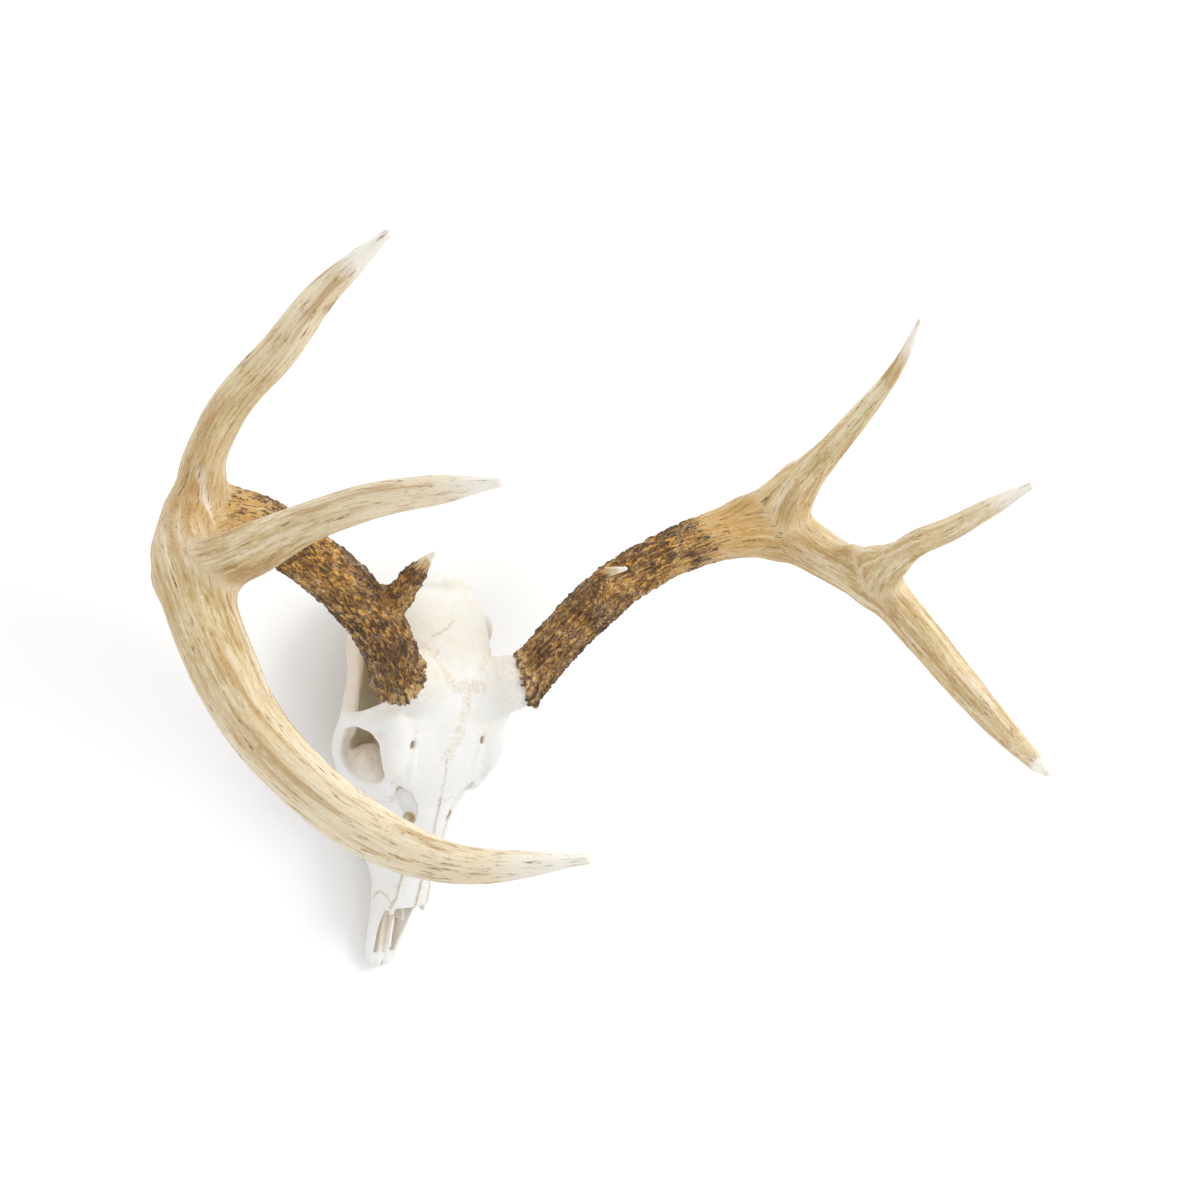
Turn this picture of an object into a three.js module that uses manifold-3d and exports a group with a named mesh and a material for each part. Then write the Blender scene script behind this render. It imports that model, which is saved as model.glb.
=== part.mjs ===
// Skull and antlers of a white-tailed deer buck, without the lower jaw, life size.
// Millimetres, +Z up. While it is built, y = 0 is the front tip of the skull, the nose
// points along -Y, +X is the animal's left and the chewing teeth stand on z = 0. At the
// end the whole group is shifted so that its origin is the bottom centre of its box.
import * as THREE from "three";
import Module from "manifold-3d";
import { LoftGeometry } from "three/addons/geometries/LoftGeometry.js";
import { mergeVertices } from "three/addons/utils/BufferGeometryUtils.js";

const wasm = await Module();
wasm.setup();

// ---------------------------------------------------------------- driving dimensions

const GAP = 0.3; // between touching pieces
const LEFT = 1;
const RIGHT = -1;
const SIDES = [LEFT, RIGHT];

// Lengthwise places on the skull.
const NASAL_TIP_Y = 51;
const BREGMA_Y = 212; // seam between the forehead and the braincase
const FIRST_TOOTH_Y = 92;

// Eye sockets.
const ORBIT = { x: 47, y: 169, z: 72, radius: 20, rim: 3.4 };
const ORBIT_FACING = [0.92, -0.28, 0.27];

// Antlers.
const BURR_RADIUS = 19.4;
const BURR_THICKNESS = 8;

// Waypoints of each antler's middle lines and the radius at each: the main beam, the brow
// tine and the two tall tines. The beam bends back and out, then sweeps up and forward
// over the face. The right one is a little stouter and reaches further forward.
const LEFT_ANTLER = {
  beam: {
    path: [
      [46, 217, 116], [66, 248, 130], [97, 281, 144], [134, 304, 155], [172, 318, 168],
      [207, 319, 183], [221, 304, 215], [231, 284, 254], [232, 260, 287], [222, 231, 335],
      [204, 211, 382], [178, 204, 420], [145, 205, 454],
    ],
    radii: [16.6, 15.8, 15.4, 15.2, 16.6, 17.2, 16.2, 13.8, 11.8, 10, 7, 4.8, 1.6],
  },
  brow: {
    path: [[85, 270, 138], [76, 279, 157], [70, 286, 175], [65, 294, 193]],
    radii: [8.5, 6.4, 5, 1.3],
  },
  second: {
    path: [
      [206, 318, 181], [199, 351, 205], [198, 376, 235],
      [194, 399, 267], [187, 422, 298], [175, 447, 326],
    ],
    radii: [13.5, 13, 8.9, 7.1, 4.7, 1.3],
  },
  third: {
    path: [
      [230, 288, 250], [212, 304, 280], [197, 317, 313],
      [186, 326, 348], [174, 338, 384], [165, 350, 419],
    ],
    radii: [12, 9.8, 7.8, 6.6, 4.6, 1.3],
  },
};
const RIGHT_ANTLER = {
  beam: {
    path: [
      [48, 222, 115], [68, 249, 132], [97, 276, 144], [134, 300, 155], [172, 316, 168],
      [207, 319, 183], [220, 304, 213], [229, 289, 252], [229, 258, 286], [224, 225, 333],
      [206, 198, 382], [180, 186, 424], [145, 192, 463],
    ],
    radii: [16.8, 16.2, 15.6, 15.4, 17, 17.6, 16.6, 15.8, 15.2, 12, 11.2, 7.8, 1.8],
  },
  brow: {
    path: [[76, 262, 136], [70, 274, 155], [70, 288, 174], [69, 301, 194]],
    radii: [9.5, 7.8, 5.6, 1.3],
  },
  second: {
    path: [
      [208, 319, 182], [210, 347, 208], [205, 373, 236],
      [195, 397, 267], [185, 423, 297], [171, 446, 328],
    ],
    radii: [13.5, 10.8, 9.5, 8.8, 6.4, 1.3],
  },
  third: {
    path: [
      [229, 289, 251], [213, 302, 282], [200, 316, 315],
      [188, 326, 348], [175, 332, 383], [163, 336, 418],
    ],
    radii: [12.5, 12, 8.8, 7.6, 5.6, 1.3],
  },
};
const ANTLERS = { [LEFT]: LEFT_ANTLER, [RIGHT]: RIGHT_ANTLER };
const SECOND_FORK = 5; // beam waypoint where the second tine leaves
const THIRD_FORK = 7; // beam waypoint where the third tine leaves
const FORK_CUT = 0.0004; // half the gap between two lengths of the beam, as part of its run

// ---------------------------------------------------------------- materials

const BONE = new THREE.MeshStandardMaterial({ color: 0xeae4d2, roughness: 0.62, metalness: 0 });
const PALE_BONE = new THREE.MeshStandardMaterial({ color: 0xf1efe6, roughness: 0.58, metalness: 0 });
const BROWN_ANTLER = new THREE.MeshStandardMaterial({ color: 0x6d4c30, roughness: 0.6, metalness: 0 });
const TAN_ANTLER = new THREE.MeshStandardMaterial({ color: 0xb08a5c, roughness: 0.42, metalness: 0 });

// ---------------------------------------------------------------- solids

const point = ([x, y, z]) => new THREE.Vector3(x, y, z);
const mirrored = ([x, y, z], side) => [x * side, y, z];

// A closed three.js geometry as a solid, turned face out if it was built mirrored.
function solid(geometry) {
  const bare = new THREE.BufferGeometry();
  bare.setAttribute("position", geometry.getAttribute("position"));
  bare.setIndex(geometry.index);
  const merged = mergeVertices(bare, 1e-4);
  const make = (triangles) => new wasm.Manifold(new wasm.Mesh({
    numProp: 3,
    vertProperties: new Float32Array(merged.attributes.position.array),
    triVerts: new Uint32Array(triangles),
  }));
  const made = make(merged.index.array);
  return made.volume() > 0 ? made : make([...merged.index.array].reverse());
}

// A solid back as a geometry for a mesh.
function geometryOf(body) {
  const { vertProperties, triVerts } = body.getMesh();
  const geometry = new THREE.BufferGeometry();
  geometry.setAttribute("position", new THREE.BufferAttribute(vertProperties, 3));
  geometry.setIndex(new THREE.BufferAttribute(triVerts, 1));
  geometry.computeVertexNormals();
  return geometry;
}

const union = (bodies) => bodies.reduce((whole, body) => whole.add(body));

// A smooth value along a line, through stops of [place, value].
function along(stops) {
  const places = stops.map(([place]) => place);
  const values = stops.map(([, value]) => value);
  const curve = new THREE.CubicInterpolant(places, values, 1);
  return (place) => curve.evaluate(place)[0];
}

// A closed body skinned over rings of points, each ring turned to face along the loft.
function loft(rings) {
  const centre = (ring) => ring.reduce((sum, p) => sum.add(p), new THREE.Vector3()).divideScalar(ring.length);
  const [start, next] = rings.map(centre);
  const facing = new THREE.Vector3();
  rings[0].forEach((p, i) => {
    const following = rings[0][(i + 1) % rings[0].length].clone().sub(start);
    facing.add(p.clone().sub(start).cross(following));
  });
  if (facing.dot(next.sub(start)) < 0) rings.forEach((ring) => ring.reverse());
  return solid(new LoftGeometry(rings, { capStart: true, capEnd: true }));
}

// One ring across the skull at y: a soft-cornered oval, narrowed by taper above its middle
// and by keel below it.
function crossRing(y, { half, top, bottom, corner, taper = 0, keel = 0 }, sides) {
  const ring = [];
  for (let i = 0; i < sides; i++) {
    const angle = (i / sides) * 2 * Math.PI;
    const soft = (value) => Math.sign(value) * Math.abs(value) ** (2 / corner);
    const up = soft(Math.sin(angle));
    const narrowing = up > 0 ? taper * up : -keel * up;
    const x = half * soft(Math.cos(angle)) * (1 - narrowing);
    const z = (top + bottom) / 2 + ((top - bottom) / 2) * up;
    ring.push(new THREE.Vector3(x, y, z));
  }
  return ring;
}

// A body lofted along Y from functions of y that give each ring's shape.
function crossLoft(from, to, rings, shape, sides = 22) {
  const sections = [];
  for (let i = 0; i <= rings; i++) {
    const y = THREE.MathUtils.lerp(from, to, i / rings);
    const values = Object.entries(shape).map(([name, rule]) => [name, rule(y)]);
    sections.push(crossRing(y, Object.fromEntries(values), sides));
  }
  return loft(sections);
}

// A round rod through waypoints, with its radii spread evenly over them. `flat` squeezes
// it across `up`, `grow` thickens it all over, and from..to picks a stretch of it.
function rod(points, radii, options = {}) {
  const { sides = 12, rings = 12, from = 0, to = 1, grow = 0, flat = 1, up = [0, 0, 1] } = options;
  const curve = new THREE.CatmullRomCurve3(points.map(point), false, "centripetal");
  const size = along(radii.map((radius, i) => [i / (radii.length - 1), radius]));
  const over = point(up);
  const sections = [];
  for (let i = 0; i <= rings; i++) {
    const step = THREE.MathUtils.lerp(from, to, i / rings);
    const middle = curve.getPoint(step);
    const ahead = curve.getTangent(step);
    over.addScaledVector(ahead, -over.dot(ahead)).normalize();
    const across = new THREE.Vector3().crossVectors(ahead, over);
    const radius = size(step) + grow;
    sections.push(Array.from({ length: sides }, (_, j) => {
      const angle = (j / sides) * 2 * Math.PI;
      return middle.clone()
        .addScaledVector(across, radius * Math.cos(angle))
        .addScaledVector(over, radius * flat * Math.sin(angle));
    }));
  }
  return loft(sections);
}

function ellipsoid([x, y, z], [rx, ry, rz], detail = 10) {
  const geometry = new THREE.SphereGeometry(1, detail, Math.round(detail * 0.6));
  geometry.rotateX(Math.PI / 2).scale(rx, ry, rz).translate(x, y, z);
  return solid(geometry);
}

function box([x, y, z], [width, depth, height], [turnX, turnY, turnZ] = [0, 0, 0]) {
  const geometry = new THREE.BoxGeometry(width, depth, height);
  geometry.rotateX(turnX).rotateY(turnY).rotateZ(turnZ).translate(x, y, z);
  return solid(geometry);
}

// A geometry made about +Z, turned to face along `axis` and moved to its place.
function placed(geometry, [x, y, z], axis) {
  const upright = new THREE.Vector3(0, 0, 1);
  const turn = new THREE.Quaternion().setFromUnitVectors(upright, point(axis).normalize());
  return solid(geometry.applyQuaternion(turn).translate(x, y, z));
}

function ring(centre, axis, radius, thickness, depth) {
  return placed(new THREE.TorusGeometry(radius, thickness, 5, 14).scale(1, 1, depth), centre, axis);
}

function disc(centre, axis, radius, thickness) {
  const ball = new THREE.SphereGeometry(1, 12, 4).rotateX(Math.PI / 2);
  return placed(ball.scale(radius, radius, thickness), centre, axis);
}

// ---------------------------------------------------------------- antlers

// The coronet of knobs round the antler's foot.
function burr(side, grow) {
  const [foot, next] = ANTLERS[side].beam.path.map((p) => mirrored(p, side));
  const axis = next.map((value, i) => value - foot[i]);
  return disc(foot, axis, BURR_RADIUS + grow, BURR_THICKNESS + grow);
}

// Names, solids and colours of one antler's six pieces, split at its forks.
function antlerPieces(side) {
  const antler = ANTLERS[side];
  const last = antler.beam.path.length - 1;
  const lengths = {
    base: { rings: 11, from: 0, to: SECOND_FORK / last },
    middle: { rings: 5, from: SECOND_FORK / last, to: THIRD_FORK / last },
    end: { rings: 11, from: THIRD_FORK / last, to: 1 },
  };
  const piece = ({ path, radii }, options) => rod(path.map((p) => mirrored(p, side)), radii, options);
  const beam = ({ rings, from, to }, inset, grow) => piece(antler.beam, {
    sides: 12,
    rings,
    from: from === 0 ? from : from + inset,
    to: to === 1 ? to : to - inset,
    grow,
  });
  const swollen = union(Object.values(lengths).map((length) => beam(length, -FORK_CUT, 2 * GAP)));
  const tine = (name, rings) => piece(antler[name], { rings, sides: 10 }).subtract(swollen);
  return {
    beam_base: [beam(lengths.base, FORK_CUT, 0).add(burr(side, 0)), BROWN_ANTLER],
    beam_middle: [beam(lengths.middle, FORK_CUT, 0), TAN_ANTLER],
    beam_end: [beam(lengths.end, FORK_CUT, 0), TAN_ANTLER],
    brow_tine: [tine("brow", 5), TAN_ANTLER],
    second_tine: [tine("second", 7), TAN_ANTLER],
    third_tine: [tine("third", 7), TAN_ANTLER],
  };
}

// ---------------------------------------------------------------- skull

// Outlines of the skull from the side (top, bottom) and from above (half), by place.
const faceShape = {
  top: along([[44, 49], [66, 57], [90, 67], [115, 77], [136, 86], [155, 95], [176, 102]]),
  bottom: along([[44, 12], [66, 12], [84, 9], [110, 6], [140, 5], [156, 8], [176, 30]]),
  half: along([[44, 14.5], [66, 17], [84, 24], [105, 31], [125, 36], [145, 42], [156, 40], [176, 24]]),
  taper: along([[44, 0.1], [66, 0.14], [105, 0.4], [145, 0.4], [176, 0.05]]),
  keel: along([[44, 0], [84, 0.1], [110, 0.2], [145, 0.34], [176, 0.1]]),
  corner: () => 2.6,
};
const snoutShape = {
  top: along([[1, 10], [10, 12.5], [18, 16], [34, 27], [48, 38], [62, 54]]),
  bottom: along([[1, 5], [10, 5.5], [30, 9], [62, 12]]),
  half: along([[1, 5], [5, 9], [12, 12], [22, 13.4], [48, 14.5], [62, 16]]),
  corner: () => 2.8,
};
const nostrilShape = {
  top: () => 70,
  bottom: along([[12, 10], [30, 13], [52, 20]]),
  half: along([[12, 6], [22, 9.4], [52, 11]]),
  corner: () => 5,
};
const foreheadShape = {
  top: along([[132, 85], [150, 94], [170, 102], [190, 107], [214, 109]]),
  bottom: along([[132, 72], [150, 78], [170, 82], [190, 76], [214, 66]]),
  half: along([[132, 20], [146, 28], [154, 38], [165, 45], [175, 46], [184, 45], [194, 42], [214, 37]]),
  corner: () => 2.8,
};
const braincaseShape = {
  top: along([[168, 98], [190, 107], [212, 109], [235, 107], [258, 98], [273, 86], [281, 74]]),
  bottom: along([[168, 34], [190, 38], [215, 38], [245, 34], [266, 34], [281, 48]]),
  half: along([[168, 17], [185, 26], [200, 34], [220, 38], [245, 38.5], [262, 37], [272, 33], [281, 26]]),
  keel: along([[168, 0], [245, 0.1], [270, 0.32], [281, 0.4]]),
  corner: () => 2.5,
};

const snout = () => crossLoft(1, 62, 7, snoutShape, 10);
const face = () => crossLoft(58, 176, 9, faceShape, 14);
const forehead = () => crossLoft(132, 214, 7, foreheadShape, 12);
const braincase = () => crossLoft(168, 281, 10, braincaseShape, 16);

// The roof over the nostril: the tips of the nasal bones reach past the face.
function nasalTips() {
  const roof = { ...faceShape, bottom: () => 42, half: () => 13.5, corner: () => 2.2 };
  return crossLoft(NASAL_TIP_Y, 64, 2, roof, 10).subtract(ellipsoid([0, 52, 38], [9, 16, 9]));
}

function nostril() {
  return crossLoft(12, 52, 3, nostrilShape, 10).add(ellipsoid([0, 60, 36], [9.5, 22, 11], 8));
}

// The long slits in the floor of the snout.
const palateSlit = (side) => box([side * 5.4, 29, 10], [3, 24, 20]);

// The crest across the back of the head.
function nuchalCrest() {
  const points = [[-31, 264, 52], [-25, 273, 68], [0, 278, 78], [25, 273, 68], [31, 264, 52]];
  return rod(points, [3.6, 4.2, 4.6, 4.2, 3.6], { rings: 6, sides: 6, up: [0, 1, 0], flat: 0.6 });
}

function orbitRim(side) {
  const { x, y, z, radius, rim } = ORBIT;
  return ring([side * x, y, z], mirrored(ORBIT_FACING, side), radius, rim, 1.35);
}

// The bone in front of the socket, swelling out to its rim.
const tearBone = (side) => ellipsoid([side * 33, 146, 64], [10, 9, 12], 8);

function orbitHollow(side) {
  const { x, y, z, radius } = ORBIT;
  return ellipsoid([side * (x + 1), y, z], [22, radius - 2, radius - 2], 10);
}

// The cheek arch from below the socket back to the ear region, and its root in front.
function cheekArch(side) {
  const back = [[51, 180, 52], [50.5, 192, 53], [49, 205, 53], [46.5, 220, 52], [46, 236, 50], [38, 248, 50]];
  const front = [[28, 112, 34], [35, 130, 40], [42, 148, 47], [49, 162, 51]];
  return rod(back.map((p) => mirrored(p, side)), [5, 4, 3.6, 4, 5.6, 8], { flat: 1.35, rings: 7, sides: 6 })
    .add(rod(front.map((p) => mirrored(p, side)), [5, 7, 7, 5], { rings: 4, sides: 6 }));
}

// The bone stump that carries the antler.
function pedicle(side) {
  const [x, y, z] = ANTLERS[side].beam.path[0];
  const stump = [[x - 21, y - 16, z - 26], [x - 8, y - 10, z - 10], [x - 2, y - 3.6, z - 2.5]];
  return rod(stump.map((p) => mirrored(p, side)), [14, 15.6, 14.4], { rings: 3, sides: 12 });
}

// Cheek teeth in a slightly bowed row, growing from front to back.
const TOOTH_LENGTHS = [9, 10, 10, 12, 13.5, 13.5];
const TOOTH_WIDTHS = [7.5, 9, 10, 12, 13, 12.5];
const TOOTH_ROW = [18, 25]; // how far the front and the back tooth stand from the middle
const TOOTH_HEIGHT = 24; // with the root in the jaw
const TOOTH_GAP = 0.8;

function toothRow(side) {
  const teeth = [];
  let front = FIRST_TOOTH_Y - TOOTH_LENGTHS[0] / 2;
  TOOTH_LENGTHS.forEach((length, i) => {
    const x = THREE.MathUtils.lerp(TOOTH_ROW[0], TOOTH_ROW[1], Math.sqrt(i / 5));
    const size = [TOOTH_WIDTHS[i], length - TOOTH_GAP, TOOTH_HEIGHT];
    teeth.push(box([side * x, front + length / 2, TOOTH_HEIGHT / 2], size));
    front += length;
  });
  return union(teeth);
}

const palateHollow = () => ellipsoid([0, 118, 2], [16, 68, 16], 10);
const throatHollow = () => ellipsoid([0, 203, 14], [28, 40, 21], 8);

function wingPlates(side) {
  const points = [[12, 152, 28], [11, 168, 25], [10, 184, 28], [11, 198, 38]];
  return rod(points.map((p) => mirrored(p, side)), [3, 3.4, 3.4, 3], { rings: 3, sides: 6, flat: 3 });
}

// Under the back of the skull: ear capsule, condyle for the neck, ear tube, and the long
// process beside them that the skull rests on.
function skullBack(side) {
  const capsule = ellipsoid([side * 21, 243, 32], [8, 12, 12], 8);
  const condyle = ellipsoid([side * 12, 266, 37], [9, 8, 11], 8);
  const process = [[30, 261, 48], [28, 263, 24], [25, 264, -3]];
  const tube = [[32, 240, 42], [44, 244, 49]];
  return union([
    capsule,
    condyle,
    rod(process.map((p) => mirrored(p, side)), [8, 5.6, 3.4], { rings: 4, sides: 8 }),
    rod(tube.map((p) => mirrored(p, side)), [8, 6], { rings: 2, sides: 8 }),
  ]);
}

const neckHole = () => ellipsoid([0, 284, 52], [10, 16, 9], 8);

// Every bone of the skull as one body, before it is parted along its sutures.
function wholeSkull() {
  const hollows = [nostril(), palateHollow(), throatHollow(), neckHole(), ...SIDES.map(orbitHollow)];
  const slits = SIDES.map(palateSlit);
  const core = union([snout(), face(), forehead(), braincase()]).subtract(union([...hollows, ...slits]));
  const paired = [orbitRim, tearBone, cheekArch, wingPlates, skullBack, toothRow, pedicle];
  const added = paired.flatMap((make) => SIDES.map(make));
  const burrs = SIDES.map((side) => burr(side, GAP));
  const floor = box([0, 150, -50], [300, 400, 100]);
  return union([core, nasalTips(), nuchalCrest(), ...added]).subtract(union([...burrs, floor]));
}

// ---------------------------------------------------------------- sutures

// Boxes that hold each bone or group of bones, from low corner to high corner. Each takes
// its share of what the ones before it left.
const far = 400;
const REGIONS = [
  ["left_cheek_arch", [40.5, 150, 30], [far, 222, 73]],
  ["right_cheek_arch", [-far, 150, 30], [-40.5, 222, 73]],
  ["left_premaxilla", [0, -far, -far], [far, 60, 41]],
  ["right_premaxilla", [-far, -far, -far], [0, 60, 41]],
  ["left_forehead", [0, 141, 73.3], [far, BREGMA_Y, far]],
  ["right_forehead", [-far, 141, 73.3], [0, BREGMA_Y, far]],
  ["braincase", [-far, 190, -far], [far, far, far]],
  ["face", [-far, -far, -far], [far, far, far]],
];

function region(low, high, grow) {
  const size = high.map((value, i) => value - low[i] + 2 * grow);
  const middle = high.map((value, i) => (value + low[i]) / 2);
  return box(middle, size);
}

function partedSkull() {
  const bones = [];
  let rest = wholeSkull();
  for (const [name, low, high] of REGIONS) {
    bones.push([name, rest.intersect(region(low, high, 0))]);
    rest = rest.subtract(region(low, high, GAP));
  }
  return bones;
}

// ---------------------------------------------------------------- the model

const group = new THREE.Group();

function addNode(name, body, material) {
  const mesh = new THREE.Mesh(geometryOf(body), material);
  mesh.name = name;
  group.add(mesh);
}

for (const [name, bone] of partedSkull()) {
  addNode(name, bone, name === "braincase" ? BONE : PALE_BONE);
}
for (const side of SIDES) {
  const word = side === LEFT ? "left" : "right";
  for (const [name, [body, material]] of Object.entries(antlerPieces(side))) {
    addNode(`${word}_${name}`, body, material);
  }
}

// The origin goes to the bottom centre of the whole box.
const span = new THREE.Box3().setFromObject(group);
group.position.set(-(span.min.x + span.max.x) / 2, -(span.min.y + span.max.y) / 2, -span.min.z);

export default group;
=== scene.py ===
"""White-tailed deer skull with eight-point antlers, lying on its teeth on a pale floor.

The bones and antlers are grown as distance fields on a lattice, skinned, then given their
pearls, grooves and sutures point by point. Sizes in the tables are millimetres in the skull's
own frame: +X the animal's left, +Y towards the nape, the nose at y = 0 and the tooth tips at z = 0.
"""

import math  # noqa: E402

import bpy  # noqa: E402
import numpy as np  # noqa: E402
import openvdb  # noqa: E402
from bpy.props import FloatProperty, FloatVectorProperty, PointerProperty  # noqa: E402
from mathutils import Matrix, Vector  # noqa: E402


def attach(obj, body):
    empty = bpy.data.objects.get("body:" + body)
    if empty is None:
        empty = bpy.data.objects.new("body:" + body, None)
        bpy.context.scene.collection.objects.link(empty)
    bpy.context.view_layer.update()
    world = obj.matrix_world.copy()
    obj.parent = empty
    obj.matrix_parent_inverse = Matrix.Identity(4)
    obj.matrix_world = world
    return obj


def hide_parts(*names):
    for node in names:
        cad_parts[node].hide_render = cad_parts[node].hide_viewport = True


bl_info = {
    "name": "Deer skull with antlers",
    "version": (1, 0, 0),
    "blender": (4, 5, 0),
    "location": "3D View > Sidebar > Deer skull",
    "description": "Builds a white-tailed deer skull, its antlers and a plain stage",
    "category": "Object",
}

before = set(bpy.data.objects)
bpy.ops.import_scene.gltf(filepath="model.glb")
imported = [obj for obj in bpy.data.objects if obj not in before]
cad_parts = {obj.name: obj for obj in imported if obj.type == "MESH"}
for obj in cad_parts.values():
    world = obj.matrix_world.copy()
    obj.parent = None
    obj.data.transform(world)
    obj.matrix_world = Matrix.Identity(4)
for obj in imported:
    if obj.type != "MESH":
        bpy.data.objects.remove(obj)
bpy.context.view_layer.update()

BODY = "root"
MM = 0.001
SKULL_TO_PART = np.array([0.098, -224.502, 0.0])  # from the skull's frame to the part's
FAR = 30.0  # distance that stands for empty space on a lattice
AWAY = 99.0  # distance that stands for no line or hole near a point
SKULL_STEP = 0.66
ANTLER_STEP = 0.62
SIDES = {"left": 1, "right": -1}

SKULL_NODES = (
    "left_cheek_arch", "right_cheek_arch", "left_premaxilla", "right_premaxilla",
    "left_forehead", "right_forehead", "braincase", "face",
)
ANTLER_NODES = ("beam_base", "beam_middle", "beam_end", "brow_tine", "second_tine", "third_tine")

# The stage, in metres, but for the camera's place, which is in the skull's frame.
FLOOR_REACH = 6.0
LIGHTS_AIM = (0, -0.03, 0.15)
KEY_LIGHT = {"place": (0.95, 0.7, 1.6), "size": 1.0, "share": 1.0}
RIM_LIGHT = {"place": (0.3, 1.6, 0.7), "size": 0.6, "share": 0.25}
SENSOR_WIDTH = 36  # millimetres
EYE = (-461, 321, 911)
LOOK = (0.578, -0.053, -0.815)
UP = (-0.001, 0.998, -0.066)


# ---------------------------------------------------------------- noise


class Grain:
    """Smooth random variation in space, the same on every run."""

    def __init__(self, seed):
        draw = np.random.default_rng(seed)
        self.order = np.tile(draw.permutation(256), 2).astype(np.int32)
        lean = draw.normal(size=(256, 3))
        self.lean = (lean / np.linalg.norm(lean, axis=1, keepdims=True)).astype(np.float32)
        self.spots = draw.random((256, 3)).astype(np.float32)

    def _slot(self, cell):
        a, b, c = (cell[:, k] & 255 for k in range(3))
        return self.order[self.order[self.order[a] + b] + c]

    def __call__(self, points):
        """About -1 to 1, with one swell for each unit of length."""
        cell = np.floor(points).astype(np.int32)
        part = (points - cell).astype(np.float32)
        ease = part * part * part * (part * (part * 6 - 15) + 10)
        total = np.zeros(len(points), np.float32)
        for corner in np.ndindex(2, 2, 2):
            step = np.array(corner, np.int32)
            weight = np.prod(np.where(step, ease, 1 - ease), axis=1)
            total += weight * np.einsum("ij,ij->i", self.lean[self._slot(cell + step)], part - step)
        return total * 1.7

    def layers(self, points, count=3):
        """Several sizes of variation laid over each other."""
        total, share = 0, 1.0
        for k in range(count):
            total = total + share * self(points * 2.03**k + 17.3 * k)
            share *= 0.5
        return total / 1.5

    def ridges(self, points):
        """1 along thin wandering crests, falling to 0 between them."""
        return 1 - np.clip(np.abs(self(points)) * 2.4, 0, 1)

    def pearls(self, points):
        """Distance to the nearest scattered centre, and a random number for that centre."""
        cell = np.floor(points).astype(np.int32)
        nearest = np.full(len(points), 9.0, np.float32)
        kind = np.zeros(len(points), np.float32)
        for corner in np.ndindex(3, 3, 3):
            there = cell + np.array(corner, np.int32) - 1
            spot = self.spots[self._slot(there)]
            away = np.linalg.norm(there + 0.15 + 0.7 * spot - points, axis=1)
            closer = away < nearest
            nearest = np.where(closer, away, nearest)
            kind = np.where(closer, spot[:, 0], kind)
        return nearest, kind


def ramp(value, start, end):
    """0 at start, 1 at end, eased at both."""
    t = np.clip((value - start) / (end - start), 0, 1)
    return t * t * (3 - 2 * t)


def table(rows, where):
    """A smooth curve through the rows of (place, value), read at each place in where."""
    places, values = (np.array(column, float) for column in zip(*rows))
    slopes = np.gradient(values, places)
    where = np.clip(where, places[0], places[-1])
    k = np.clip(np.searchsorted(places, where) - 1, 0, len(places) - 2)
    width = places[k + 1] - places[k]
    t = (where - places[k]) / width
    return (
        (2 * t**3 - 3 * t**2 + 1) * values[k] + (t**3 - 2 * t**2 + t) * width * slopes[k]
        + (3 * t**2 - 2 * t**3) * values[k + 1] + (t**3 - t**2) * width * slopes[k + 1]
    )


# ---------------------------------------------------------------- distance fields


def soft_least(a, b, blend):
    """The nearer of two distances, rounded off over the blend."""
    if blend <= 0:
        return np.minimum(a, b)
    h = np.clip(0.5 + 0.5 * (b - a) / blend, 0, 1)
    return b + (a - b) * h - blend * h * (1 - h)


def soft_most(a, b, blend):
    """The farther of two distances, rounded off over the blend."""
    return -soft_least(-a, -b, blend)


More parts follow.
